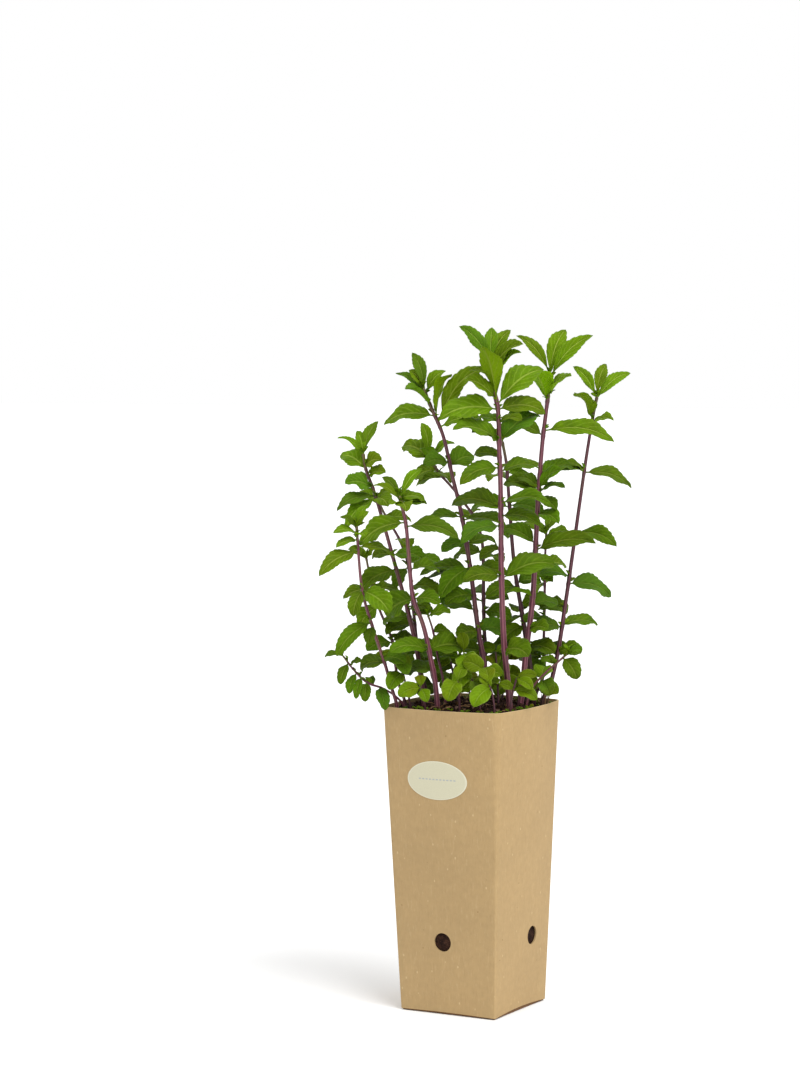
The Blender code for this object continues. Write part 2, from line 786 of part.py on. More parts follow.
def blade(root, leaf, swell=0.0):
    """A thin closed leaf with a toothed margin, thickest along its midrib."""
    length, width, face = leaf[2], leaf[4], leaf[5]
    if length < SMALL_LEAF:
        rib_share = np.array([0.0, 0.45, 1.0])
        edge_share = np.array([0.0, 0.16, 0.36, 0.68, 1.0])
        tooth = np.zeros(5)
    else:
        rib_share = np.array([0.0, 0.13, 0.5, 1.0])
        edge_share = np.array([0.0, 0.13, 0.28, 0.42, 0.56, 0.70, 0.84, 1.0])
        tooth = np.array([0, 0, 0.6, -1, 1, -1, 1, 0]) * TOOTH
    every = np.unique(np.concatenate([rib_share, edge_share]))
    middle = midrib(root, leaf, every)
    along = np.gradient(middle, axis=0)
    along /= np.linalg.norm(along, axis=1, keepdims=True)
    facing = math.radians(face)
    upward = math.cos(facing) * np.array([0.0, 0.0, 1.0]) + math.sin(facing) * direction(270.0)
    normal = upward - along * (along @ upward)[:, None]
    normal /= np.linalg.norm(normal, axis=1, keepdims=True)
    side = np.cross(along, normal)
    rows = {round(share, 4): i for i, share in enumerate(every)}
    rib = [rows[round(share, 4)] for share in rib_share]
    edge = [rows[round(share, 4)] for share in edge_share]
    half = half_width(edge_share, leaf) * (1.0 + tooth)
    half = np.maximum(half, STALK_HALF) + swell
    half[-1] = 0.0
    fold = math.radians(FOLD)
    lifted = np.where(edge_share > 0.13, math.sin(fold), 0.0)
    thick = RIB_HALF_THICK + swell
    points = []
    for sign in (1.0, -1.0):
        points += [middle[i] + sign * thick * normal[i] for i in rib[:-1]]
    for sign in (1.0, -1.0):
        for i, out, raised in zip(edge[:-1], half, lifted):
            points.append(middle[i] + sign * out * math.cos(fold) * side[i] + out * raised * normal[i])
    points.append(middle[-1] + swell * along[-1])
    return np.array(points), blade_faces(rib_share, edge_share)


def blade_faces(rib_share, edge_share):
    """Triangles between the midrib and each margin, alike on both faces, and the root's cap."""
    ribs = len(rib_share) - 1
    edges = len(edge_share) - 1
    tip = 2 * ribs + 2 * edges
    faces = []
    for face in (0, 1):
        for side in (0, 1):
            rib = [face * ribs + i for i in range(ribs)] + [tip]
            edge = [2 * ribs + side * edges + i for i in range(edges)] + [tip]
            flip = face != side
            a = b = 0
            while a < ribs or b < edges:
                step_edge = a == ribs or (b < edges and edge_share[b + 1] <= rib_share[a + 1])
                if step_edge:
                    triangle = (rib[a], edge[b], edge[b + 1])
                    b += 1
                else:
                    triangle = (rib[a], edge[b], rib[a + 1])
                    a += 1
                if len(set(triangle)) == 3:
                    faces.append(triangle[::-1] if flip else triangle)
    left, right = 2 * ribs, 2 * ribs + edges
    faces.append((0, right, left))
    faces.append((left, right, ribs))
    return faces


class Room:
    """What is already placed, to keep each new leaf clear of the pieces it isn't part of."""

    def __init__(self):
        self.trees = []
        self.low = []
        self.high = []
        self.owner = []

    def add(self, owner, height, points, faces):
        self.trees.append((BVHTree.FromPolygons(points.tolist(), faces), height))
        self.low.append(points.min(axis=0))
        self.high.append(points.max(axis=0))
        self.owner.append(owner)

    def touches(self, owner, height, points, faces, own):
        """Whether a shape meets another owner's, or with own set, the same owner's at other heights."""
        low, high = points.min(axis=0), points.max(axis=0)
        near = np.all((np.array(self.low) < high) & (np.array(self.high) > low), axis=1)
        tree = None
        for i in np.flatnonzero(near):
            if (self.owner[i] == owner) != own:
                continue
            if own and (self.trees[i][1] is None or abs(self.trees[i][1] - height) < 7.0):
                continue
            if tree is None:
                tree = BVHTree.FromPolygons(points.tolist(), faces)
            if tree.overlap(self.trees[i][0]):
                return True
        return False


# Changes tried in turn on a leaf that meets a neighbour: heading, rise, share of its length
TRIES = tuple(
    (turn, lift, size)
    for size in (1.0, 0.9, 0.78, 0.64)
    for turn, lift in (
        (0, 0), (8, 0), (-8, 0), (0, 5), (0, -5), (16, 3), (-16, 3), (12, -6), (-12, -6),
        (26, 0), (-26, 0), (0, 12), (0, -12), (38, 6), (-38, 6), (38, -8), (-38, -8),
    )
)


def place_leaf(stem, leaf, room):
    """Adds the leaf to its stem in the first pose that is clear of every other piece."""
    root = stem.root(leaf[0])
    spare = None
    for turn, lift, size in TRIES:
        up, heading, length, rise, width, face = leaf
        rise = max(min(rise * size + lift, 0.97 * length * size), -0.9 * length * size)
        trial = (up, heading + turn, length * size, rise, width * size, face)
        points, faces = blade(root, trial, CLEARANCE)
        if room.touches(stem.name, up, points, faces, own=False):
            continue
        if spare is None:
            spare = trial
        if not room.touches(stem.name, up, points, faces, own=True):
            spare = trial
            break
    if spare is None:
        return False
    points, faces = blade(root, spare)
    room.add(stem.name, leaf[0], points, faces)
    stem.leaves.append(spare)
    return True


def turned_pairs(leaves):
    """Turns the pairs of leaves up a stem by turns towards the eye and away.

    Each leaf keeps its measured reach across, so it grows longer as it turns, to a limit.
    """
    turned = []
    pair = 0
    last = None
    for up, heading, length, rise, width, face in sorted(leaves):
        if last is not None and up - last > PAIR_GAP:
            pair += 1
        last = up
        reach = math.sqrt(max(length**2 - rise**2, 0.04 * length**2))
        across = reach * math.cos(math.radians(heading))
        off = (heading if across > 0 else 180 - heading + 360) % 360
        off = off - 360 if off > 180 else off
        if abs(off) < 42 and abs(rise) < 0.7 * length:
            room = math.sqrt(max(LONGEST_LEAF**2 - rise**2, 1.0))
            most = math.degrees(math.acos(min(abs(across) / room, 1.0)))
            side = 1.0 if (pair % 2) == (across > 0) else -1.0
            off = side * min(PAIR_TURN, max(most, abs(off)))
            reach = abs(across) / math.cos(math.radians(off))
            length = math.hypot(reach, rise)
            heading = off if across > 0 else 180 - off
        turned.append((up, heading, length, rise, width, face))
    return sorted(turned, key=lambda leaf: (-leaf[0], -leaf[2]))


def sprig_leaves(draw, low, high, lean):
    """Pairs of uneven round leaves down a short sprig from its tip, each pair turned across the last.

    The pair at the tip spreads to the sides of the way the sprig leans. Leaves nod towards the eye.
    """
    leaves = []
    pairs = 1 + int((high - low) / SPRIG_STEP)
    turn = lean + 90.0
    for pair in range(pairs):
        above = (high - low) * (1.0 - pair / pairs) - 1.0
        for half in (0.0, 180.0):
            heading = turn + half + draw.uniform(-24.0, 24.0)
            away = math.sin(math.radians(heading))
            size = SPRIG_LEAF * (1.0 - 0.006 * above) * draw.uniform(*SPRIG_SIZES)
            rise = size * (SPRIG_NOD * away + draw.uniform(-0.1, 0.1 + 0.01 * above))
            face = draw.uniform(*SPRIG_FACES)
            leaves.append((low + above, heading, size, rise, size * SPRIG_ROUND, face))
        turn += SPRIG_TURN
    return leaves


def lay_out_plant():
    """Every stem with its leaves, each leaf kept clear of the other stems, the pot and the soil."""
    draw = np.random.default_rng(SEED)
    stems = []
    wanted = []
    for name, widths, foot, lean, way, leaves in STEMS:
        stems.append(Stem(name, widths, foot, lean, way, STEM_DEPTH))
        wanted.append(turned_pairs(leaves))
    for number, (across, away, high, lean, measured) in enumerate(SPRIGS):
        level = direction(lean - SIGHT_TURN)
        rise = high - STEM_DATUM
        way = [
            (across + swing * rise * level[0], away + swing * rise * level[1], STEM_DATUM + share * rise)
            for swing, share in ((0.10, 0.5), (0.25, 1.0))
        ]
        name = f"basal_sprig_{number + 1:02d}"
        stems.append(Stem(name, SPRIG_WIDTHS, (across, away), 0, way, SPRIG_DEPTH))
        grown = sprig_leaves(draw, STEM_DATUM + SPRIG_START, high, lean)
        wanted.append(list(measured) or grown)
    room = Room()
    rim = [(pot_section(height, inset), height) for height, inset in ((240.0, -0.5), (300.6, -0.5))]
    rim += [(pot_section(300.6, BOARD + 0.5), 300.6), (pot_section(SOIL_EDGE, BOARD + 0.5), SOIL_EDGE)]
    rim.append((pot_section(SOIL_EDGE, BOARD + 0.5) * 0.5, SOIL_CROWN + 1.0))
    points, faces = stack_sections(rim)
    room.add("pot", None, points, faces)
    for stem in stems:
        points, faces = tube(stem.path, stem.widths, CLEARANCE)
        room.add(stem.name, None, points, faces)
    dropped = 0
    for stem, leaves in zip(stems, wanted):
        for leaf in leaves:
            dropped += not place_leaf(stem, leaf, room)
    print("leaves placed", sum(len(stem.leaves) for stem in stems), "left out", dropped)
    return stems


def keep_largest(obj):
    """Drops loose scraps and sealed hollows: all but the largest connected shell."""
    mesh = obj.data
    parent = list(range(len(mesh.vertices)))

    def top(i):
        while parent[i] != i:
            parent[i] = parent[parent[i]]
            i = parent[i]
        return i

    for edge in mesh.edges:
        parent[top(edge.vertices[0])] = top(edge.vertices[1])
    shells = np.array([top(i) for i in range(len(parent))])
    names, counts = np.unique(shells, return_counts=True)
    if len(names) == 1:
        return
    kept = shells == names[counts.argmax()]
    index = np.cumsum(kept) - 1
    points = np.array([vertex.co for vertex in mesh.vertices])[kept] / MM
    faces = [[index[i] for i in face.vertices] for face in mesh.polygons if kept[face.vertices[0]]]
    material = mesh.materials[0]
    name = obj.name
    bpy.data.objects.remove(obj)
    bpy.data.meshes.remove(mesh)
    add_mesh(name, points, faces, material)


def make_stem(stem, material):
    """The stem and its leaves as one solid."""
    points, faces = tube(stem.path, stem.widths)
    obj = add_mesh(stem.name, points, faces, material)
    blades = []
    for number, leaf in enumerate(stem.leaves):
        blades.append(add_mesh(f"{stem.name}_leaf_{number}", *blade(stem.root(leaf[0]), leaf)))
    combine(obj, blades, "UNION", "MANIFOLD")
    keep_largest(obj)


def main():
    for obj in list(bpy.data.objects):
        bpy.data.objects.remove(obj)
    stems = lay_out_plant()
    make_pot()
    make_label()
    feet = []
    for stem in stems:
        radius = 0.5 * math.sqrt(2.0) * stem.widths[0] + HOLE_GAP
        feet.append((stem.path[0], stem.depth + HOLE_GAP, radius / math.cos(math.pi / 6)))
    make_soil(feet)
    tall = plain_material("leaf_green", (0.09, 0.22, 0.01), 0.5)
    low = plain_material("basal_leaf_green", (0.13, 0.24, 0.02), 0.5)
    for stem in stems:
        make_stem(stem, low if stem.name.startswith("basal") else tall)


main()
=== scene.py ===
"""Dress of the potted calamint: fine leaves, square stems, carton, label, soil and litter.

Lengths are in millimetres unless a name says otherwise, and are turned into metres as each mesh is
made. The layout of the plant repeats the part's own, so each fine leaf lies where its solid lies.
The plant is measured square to a line of sight: across to the right, away from the eye, and up.
Headings go anticlockwise from above: 0 is right, 90 away, 180 left and 270 towards the eye. A leaf
is the height of its root, its heading, length, rise from root to tip, width, and how far its face
turns to the eye in degrees.
"""

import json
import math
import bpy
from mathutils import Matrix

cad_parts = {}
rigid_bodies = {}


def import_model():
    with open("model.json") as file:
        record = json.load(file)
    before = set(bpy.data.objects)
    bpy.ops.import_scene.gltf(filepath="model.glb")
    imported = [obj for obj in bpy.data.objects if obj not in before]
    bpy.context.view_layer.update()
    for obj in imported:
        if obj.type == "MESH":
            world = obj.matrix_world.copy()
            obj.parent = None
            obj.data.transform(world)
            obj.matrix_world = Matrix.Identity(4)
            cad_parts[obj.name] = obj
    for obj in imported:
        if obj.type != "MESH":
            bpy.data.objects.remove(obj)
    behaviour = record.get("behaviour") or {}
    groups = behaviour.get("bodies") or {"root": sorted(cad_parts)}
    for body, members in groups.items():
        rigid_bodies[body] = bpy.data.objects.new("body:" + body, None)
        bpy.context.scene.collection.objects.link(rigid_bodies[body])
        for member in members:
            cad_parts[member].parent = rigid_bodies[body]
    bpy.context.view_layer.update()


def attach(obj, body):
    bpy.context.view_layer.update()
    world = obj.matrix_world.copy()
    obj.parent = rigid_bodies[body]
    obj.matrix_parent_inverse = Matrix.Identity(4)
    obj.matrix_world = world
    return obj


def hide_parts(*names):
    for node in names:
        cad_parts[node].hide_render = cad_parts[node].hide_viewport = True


bl_info = {
    "name": "Potted calamint",
    "version": (1, 0, 0),
    "blender": (4, 5, 0),
    "location": "View3D > Sidebar > Calamint",
    "description": "Leaves, square stems, carton pot, label and soil built around the packed part",
    "category": "Object",
}

import bpy
import numpy as np
from bpy.props import FloatProperty, FloatVectorProperty, IntProperty, PointerProperty
from mathutils import Matrix
from mathutils.bvhtree import BVHTree

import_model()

MM = 0.001
SEED = 11
UP = np.array([0.0, 0.0, 1.0])

# Carton pot: the walls widen upwards and bulge, most at the rim
POT_HEIGHT = 300.0
POT_BASE_HALF = 52.6
POT_RIM_HALF = 64.5
RIM_BULGE = 7.4
BULGE_POWER = 1.6
BOARD = 1.6
BASE_THICK = 3.0
CARTON_LIFT = 1.2
CORNER_BASE = 2.0
CORNER_RIM = 7.5
WALL_STEPS = 6
HOLE_RADIUS = 9.2
HOLE_HEIGHT = 71.5
HOLE_OFFSETS = (-3.0, 18.0, 3.0, -18.0)

# Oval label on the -Y wall
LABEL_WIDE = 66.0
LABEL_TALL = 38.0
LABEL_ACROSS = -2.5
LABEL_HEIGHT = 231.5

# Soil, and the heights that the stems are measured from
FIT_GAP = 0.3
SOIL_EDGE = 296.0
SOIL_CROWN = 299.0
STEM_DATUM = 298.0
STEM_DEPTH = 24.0
FOOT_RISE = 3.0
SPRIG_DEPTH = 12.0

# The pot's rim and the soil's top, as leaves are kept clear of them: the outline's level, its inset,
# its size and its height
RIM_SKIN = (
    (240.0, -0.5, 1.0, 240.0),
    (300.6, -0.5, 1.0, 300.6),
    (300.6, BOARD + 0.5, 1.0, 300.6),
    (SOIL_EDGE, BOARD + 0.5, 1.0, SOIL_EDGE),
    (SOIL_EDGE, BOARD + 0.5, 0.5, SOIL_CROWN + 1.0),
)

# Line of sight, and the camera's place in pot heights and its turns in degrees
SIGHT_TURN = 29.0
EYE_DISTANCE = 3036.0
EYE_HEIGHT = 668.0
CAMERA_DISTANCE = 10.12
CAMERA_HEIGHT = 2.228
CAMERA_PAN = 1.31
CAMERA_PITCH = 3.79
CAMERA_ROLL = -0.42
CAMERA_SENSOR = 36.0
CAMERA_LENS = 3106.0 / 1067.0 * CAMERA_SENSOR
CAMERA_END = 60.0
KEY_HEADING = 38.0
KEY_CLIMB = 52.0
FLOOR_HALF = 20000.0
FLOOR_DROP = 0.3

# Leaf blade
RIB_HALF_THICK = 0.75
STALK_HALF = 0.8
STALK_SHARE = 0.10
ROUND_BELOW = 440.0
ROUND_BAND = 80.0
FOLD = 17.0
BOW = 0.105
TOOTH = 0.075
CLEARANCE = 0.45
SMALL_LEAF = 33.0
PAIR_TURN = 36.0
PAIR_GAP = 9.0
LONGEST_LEAF = 60.0
SIDEWAYS = 42.0
STEEP = 0.7
OWN_SPACING = 7.0

# Tall stems: name, widths at foot and top, foot, lean, the places along the stem and its leaves
STEMS = (
    ("leafy_stem_01_front", (5.0, 3.2), (37, -30), -20, (
        (36, -31, 313), (32, -35, 357), (30, -38, 411), (29, -42, 524), (28, -43, 554), (27, -43, 589),
        (21, -43, 619), (20, -43, 634),
    ), (
        (593, 262, 70, 62, 23, 0), (592, 334, 62, 34, 27, 52), (588, 192, 58, -8, 29, 55),
        (588, 350, 48, -5, 23, 52), (598, 142, 44, 20, 20, 50), (632, 186, 47, 36, 15, 66),
        (632, 80, 38, 36, 14, 58), (630, 28, 42, 36, 14, 58), (626, 335, 43, 27, 18, 50),
        (622, 10, 36, 22, 14, 48), (620, 180, 22, 6, 10, 40), (556, 206, 32, 17, 22, 38),
        (576, 206, 24, 2, 18, 30), (576, 330, 26, 2, 18, 30), (558, 170, 46, 12, 26, 48),
        (556, 22, 52, 26, 28, 45), (541, 190, 26, 2, 17, 45), (531, 190, 42, -13, 20, 48),
        (527, 24, 44, 2, 19, 35), (492, 196, 52, 2, 26, 50), (496, 344, 50, 2, 20, 42),
        (474, 162, 44, -12, 24, 38), (484, 26, 42, -8, 22, 38), (452, 200, 26, -13, 17, 45),
        (422, 350, 57, 14, 25, 50), (424, 186, 37, -2, 21, 50), (352, 312, 34, -2, 26, 55),
    )),
    ("leafy_stem_02_right", (5.0, 3.0), (48, -10), -12, (
        (50, -10, 313), (52, -8, 337), (60, -4, 401), (63, -2, 447), (66, 0, 500), (71, 3, 561),
        (76, 5, 601), (78, 6, 623),
    ), (
        (618, 50, 56, 50, 18, 68), (617, 352, 60, 42, 16, 58), (622, 180, 50, 38, 13, 58),
        (596, 240, 44, 30, 30, 5), (600, 318, 37, 22, 24, 25), (562, 172, 37, 9, 17, 38),
        (567, 356, 70, -10, 22, 45), (523, 20, 38, 8, 21, 40), (510, 200, 26, 12, 16, 35),
        (510, 338, 30, 20, 18, 45), (507, 318, 34, 6, 14, 30), (508, 180, 36, 6, 20, 45),
        (500, 320, 25, -9, 17, 40), (486, 318, 28, -8, 20, 45), (456, 172, 40, 14, 21, 38),
        (450, 348, 60, 7, 23, 46), (396, 22, 30, -2, 24, 42), (405, 200, 30, 4, 14, -20),
        (372, 40, 24, 2, 19, 42),
    )),
    ("leafy_stem_03_far_right", (3.8, 2.4), (70, 16), 34, (
        (77, 17, 318), (82, 17, 337), (92, 16, 396), (100, 14, 450), (107, 12, 499), (114, 9, 546),
        (119, 5, 576), (124, 3, 601),
    ), (
        (598, 182, 39, 31, 12, 58), (600, 42, 36, 33, 13, 70), (598, 352, 43, 24, 13, 58),
        (577, 226, 37, 29, 28, 10), (573, 328, 26, 6, 18, 30), (527, 190, 32, 2, 15, 42),
        (528, 150, 26, 8, 12, 42), (526, 352, 53, -18, 18, 48), (467, 6, 42, -11, 20, 45),
        (424, 168, 30, 4, 19, 42), (417, 352, 48, -17, 23, 52), (376, 350, 37, -2, 17, 48),
        (394, 188, 26, -4, 22, 35), (374, 192, 28, 0, 20, 50), (350, 330, 26, 0, 20, 50),
        (350, 205, 22, -2, 18, 50),
    )),
    ("leafy_stem_04_front_left", (4.4, 2.6), (-34, -28), -18, (
        (-36, -28, 321), (-40, -28, 343), (-49, -30, 382), (-55, -31, 397), (-61, -32, 446),
        (-64, -33, 479), (-70, -34, 505),
    ), (
        (501, 20, 37, 29, 11, 55), (501, 172, 28, 22, 10, 50), (499, 188, 30, 17, 10, 45),
        (497, 286, 24, -6, 18, 35), (495, 25, 27, 0, 13, 40), (493, 236, 22, 4, 14, 20),
        (502, 350, 26, -4, 16, 42), (478, 200, 54, -24, 24, 55), (474, 342, 54, -10, 20, 48),
        (432, 30, 34, -4, 22, 35), (403, 220, 42, -20, 29, 55), (403, 332, 28, -4, 20, 50),
        (352, 190, 38, 3, 20, 50), (332, 196, 28, -4, 22, 45), (352, 332, 38, 0, 28, 58),
    )),
    ("leafy_stem_05_centre", (4.6, 2.6), (9, 4), 10, (
        (12, 4, 335), (7, 4, 369), (-1, 4, 434), (-10, 3, 490), (-18, 2, 524), (-28, 0, 567),
        (-37, -2, 588), (-46, -3, 610),
    ), (
        (606, 135, 42, 38, 13, 60), (605, 186, 35, 19, 9, 50), (605, 160, 28, 22, 11, 50),
        (593, 212, 38, 23, 24, 28), (603, 345, 31, 24, 14, 50), (582, 196, 55, -8, 22, 52),
        (580, 314, 50, 46, 20, 8), (575, 334, 73, 55, 22, 50), (571, 342, 45, 8, 17, 50),
        (533, 330, 29, 8, 26, 48), (536, 208, 28, 0, 20, 48), (483, 174, 45, -12, 19, 40),
        (480, 2, 44, -6, 22, 35), (458, 196, 26, -8, 18, 35), (456, 20, 34, 0, 20, 35),
        (430, 172, 52, -6, 19, 40), (424, 176, 46, -4, 18, 35), (434, 224, 48, -28, 23, 50),
        (428, 10, 36, 0, 20, 40), (406, 200, 30, -6, 20, 45), (391, 184, 38, 0, 18, 40),
        (372, 330, 30, -4, 24, 50), (370, 205, 26, -4, 21, 50), (350, 172, 24, -2, 20, 40),
    )),
    ("leafy_stem_06_centre_back", (3.8, 2.0), (12, 42), 34, (
        (13, 43, 325), (12, 43, 401), (12, 42, 438), (11, 41, 458), (4, 38, 482), (-5, 34, 495),
        (-19, 25, 513), (-27, 21, 522), (-33, 17, 530), (-42, 13, 543),
    ), (
        (541, 125, 38, 36, 12, 60), (539, 186, 33, 15, 28, 45), (539, 352, 30, 18, 14, 45),
        (538, 250, 22, 14, 18, 15), (529, 202, 27, -10, 20, 45), (526, 300, 24, -8, 20, 10),
        (522, 206, 32, -9, 17, 42), (486, 95, 40, -6, 22, 10), (442, 60, 40, -6, 22, 10),
        (448, 200, 34, -8, 20, 40), (408, 120, 36, -6, 22, 10), (390, 345, 28, -6, 20, 45),
        (402, 6, 26, -2, 16, 40), (400, 186, 40, -2, 18, 38), (362, 190, 28, -4, 20, 45),
        (350, 10, 26, -2, 20, 40),
    )),
    ("leafy_stem_07_left", (4.2, 2.4), (-47, 0), 26, (
        (-49, 0, 316), (-52, 0, 342), (-62, 1, 390), (-73, 2, 431), (-86, 3, 479), (-95, 4, 510),
        (-103, 4, 533), (-105, 4, 547),
    ), (
        (545, 40, 38, 33, 12, 55), (544, 125, 27, 24, 11, 50), (545, 186, 30, 18, 9, 48),
        (530, 208, 35, 15, 22, 48), (534, 335, 19, 6, 20, 45), (524, 345, 18, 4, 16, 45),
        (512, 212, 33, 18, 23, 48), (504, 190, 40, -12, 16, 48), (502, 300, 26, -6, 21, 45),
        (502, 168, 42, -28, 17, 38), (446, 20, 36, -4, 22, 40), (446, 190, 22, -4, 16, 42),
        (432, 202, 42, -20, 23, 52), (392, 30, 28, -4, 18, 40), (385, 200, 28, -8, 19, 45),
    )),
    ("leafy_stem_08_far_left", (3.0, 2.0), (-74, -20), -20, (
        (-79, -21, 316), (-84, -22, 335), (-96, -24, 372), (-107, -26, 412), (-110, -27, 443),
        (-112, -28, 476),
    ), (
        (474, 30, 24, 21, 9, 50), (473, 350, 20, 16, 9, 45), (472, 170, 20, 13, 9, 45),
        (468, 200, 24, 2, 12, 40), (466, 300, 18, 0, 14, 25), (461, 196, 22, -6, 11, 40),
        (450, 192, 43, -22, 18, 50), (454, 352, 38, -7, 15, 38), (411, 230, 28, -24, 16, 25),
        (411, 332, 36, -20, 25, 52), (380, 200, 46, -30, 17, 55), (376, 256, 22, -16, 13, 20),
        (340, 204, 28, -8, 21, 48), (345, 335, 24, -4, 19, 45),
    )),
    ("leafy_stem_09_left_back", (2.8, 1.8), (-66, 6), 34, (
        (-72, 8, 320), (-78, 9, 362), (-91, 11, 395), (-99, 13, 424), (-103, 14, 445),
    ), (
        (443, 40, 22, 12, 12, 45), (442, 175, 22, 10, 12, 45), (412, 180, 30, -7, 16, 45),
        (412, 10, 28, -6, 18, 40), (362, 20, 26, -4, 18, 40), (396, 205, 28, -20, 21, 40),
        (360, 185, 26, -6, 18, 45), (340, 20, 24, -2, 19, 45),
    )),
    ("leafy_stem_10_back", (4.2, 2.4), (54, 22), 28, (
        (57, 25, 318), (52, 29, 372), (43, 34, 430), (37, 38, 508), (35, 40, 536), (31, 42, 558),
    ), (
        (556, 80, 26, 18, 14, 30), (555, 220, 20, 12, 12, 30), (530, 4, 36, 0, 18, 42),
        (526, 350, 26, -8, 19, 45), (520, 115, 44, -4, 23, 10), (494, 10, 36, -8, 22, 40),
        (492, 185, 42, -8, 21, 40), (468, 95, 46, -8, 24, 0), (430, 20, 40, -8, 22, 40),
        (414, 194, 34, -8, 20, 40), (418, 350, 26, -2, 20, 40), (392, 95, 36, -6, 22, 10),
        (386, 200, 26, -18, 24, 15), (376, 205, 27, -10, 22, 30), (355, 20, 30, -4, 21, 40),
        (355, 190, 30, -4, 21, 40),
    )),
    ("leafy_stem_11_right_back", (2.8, 1.8), (60, 29), 26, (
        (69, 32, 322), (71, 37, 365), (72, 40, 410), (73, 42, 452), (74, 43, 468),
    ), (
        (466, 60, 26, 18, 12, 50), (465, 190, 26, 12, 14, 45), (464, 330, 26, 4, 16, 40),
        (416, 200, 26, -4, 18, 40), (436, 20, 24, -4, 18, 40), (425, 90, 34, -6, 20, 10),
        (392, 350, 26, -4, 22, 50), (400, 175, 22, -2, 18, 50), (384, 190, 26, -6, 20, 35),
        (352, 20, 24, -2, 20, 50), (344, 185, 24, -2, 19, 45),
    )),
    ("leafy_stem_12_inner_left", (3.4, 2.0), (-42, 22), 36, (
        (-46, 22, 316), (-58, 22, 402), (-63, 23, 442), (-69, 24, 459), (-83, 24, 484), (-90, 24, 497),
    ), (
        (495, 50, 26, 18, 12, 48), (494, 170, 26, 14, 12, 45), (493, 110, 26, 12, 14, 20),
        (482, 350, 26, -4, 16, 40), (478, 100, 36, -4, 20, 10), (462, 300, 24, -10, 20, 10),
        (438, 8, 38, -6, 23, 42), (434, 205, 24, -20, 18, 25), (415, 20, 36, -6, 21, 42),
        (378, 190, 30, -3, 19, 40), (350, 10, 28, -4, 21, 45), (350, 190, 26, -4, 20, 45),
    )),
    ("leafy_stem_13_thin", (2.2, 1.6), (-26, -8), 0, (
        (-28, -8, 322), (-33, -8, 345), (-39, -8, 376), (-43, -8, 388),
    ), (
        (387, 150, 20, 6, 14, 45), (386, 340, 22, 4, 15, 45), (370, 30, 20, -2, 15, 45),
        (345, 20, 20, 2, 15, 45), (354, 200, 22, -2, 17, 45),
    )),
    ("leafy_stem_14_left_runner", (2.2, 1.5), (-68, -14), 0, (
        (-74, -16, 306), (-88, -18, 315), (-102, -21, 320), (-114, -24, 331), (-122, -26, 341),
        (-127, -27, 348),
    ), (
        (347, 184, 20, -2, 8, 45), (340, 232, 23, -20, 11, 35), (338, 40, 16, 4, 10, 40),
        (330, 216, 22, -20, 10, 35), (326, 250, 24, -20, 9, 25), (321, 260, 21, -18, 12, 35),
        (318, 120, 18, 4, 12, 30), (316, 284, 30, -20, 14, 38),
    )),
    ("leafy_stem_15_right_runner", (2.0, 1.5), (54, -14), 0, (
        (58, -15, 312), (72, -18, 329), (87, -22, 342), (95, -24, 349),
    ), (
        (348, 20, 16, 5, 12, 45), (344, 322, 26, -20, 18, 55), (338, 200, 16, 4, 12, 45),
    )),
)

# Short sprigs of round leaves between the tall stems: across, away, height of the tip, lean, and
# the leaves measured on the front ones. A sprig without them takes its leaves by a rule.
SPRIGS = (
    (-61, -20, 351, 170, (
        (347, 208, 24, -13, 15, 60), (349, 300, 28, -19, 17, 60), (350, 40, 17, 5, 11, 55),
        (330, 236, 26, -14, 18, 60), (328, 60, 20, 8, 14, 60),
    )),
    (-46, -40, 317, 200, (
        (315, 200, 24, -7, 17, 70), (314, 292, 18, -11, 13, 60), (316, 95, 16, 10, 12, 60),
    )),
    (-12, -52, 323, 250, ((322, 243, 27, -17, 21, 60), (322, 70, 19, 10, 14, 60))),
    (22, -66, 318, 170, (
        (315, 226, 28, -16, 20, 60), (318, 104, 22, 15, 17, 60), (308, 184, 22, -2, 12, 62),
        (312, 150, 19, 14, 11, 60),
    )),
    (38, -50, 325, 20, (
        (323, 322, 21, -8, 12, 60), (325, 14, 20, 1, 10, 62), (313, 336, 26, -9, 14, 62),
        (313, 186, 15, 5, 10, 60),
    )),
    (5, -20, 351, 170, (
        (350, 284, 30, -20, 23, 60), (350, 150, 20, 8, 13, 55), (333, 238, 27, -17, 20, 60),
        (333, 50, 19, 6, 14, 60), (316, 205, 20, -3, 14, 62), (316, 340, 21, 1, 14, 62),
    )),
    (-14, 18, 350, 130, ()),
    (30, 34, 356, 60, ()),
    (-2, 60, 340, 110, ()),
    (-34, 42, 350, 150, ()),
    (46, 34, 338, 40, ()),
    (62, -4, 323, 0, ()),
    (26, 8, 352, 100, ()),
    (8, -46, 332, 60, ()),
)
SPRIG_WIDTHS = (1.9, 1.4)
SPRIG_START = 5.0
SPRIG_LEAF = 28.0
SPRIG_SIZES = (0.66, 1.04)
SPRIG_ROUND = 0.86
SPRIG_TURN = 87.0
SPRIG_SWING = 24.0
SPRIG_STEP = 17.0
SPRIG_NOD = 0.4
SPRIG_FACES = (45.0, 75.0)


def in_row(across, away, up):
    """Turns a place measured along the line of sight into the part's own axes, for its depth."""
    scale = 1.0 + away / EYE_DISTANCE
    right = across * scale
    height = EYE_HEIGHT + (up - EYE_HEIGHT) * scale
    turn = math.radians(SIGHT_TURN)
    x = right * math.cos(turn) - away * math.sin(turn)
    y = right * math.sin(turn) + away * math.cos(turn)
    return np.array([x, y, height])


def direction(heading):
    """The level unit vector of a heading."""
    angle = math.radians(heading + SIGHT_TURN)
    return np.array([math.cos(angle), math.sin(angle), 0.0])


def unit(vector):
    return vector / np.linalg.norm(vector)


def unit_rows(vectors):
    return vectors / np.linalg.norm(vectors, axis=1, keepdims=True)


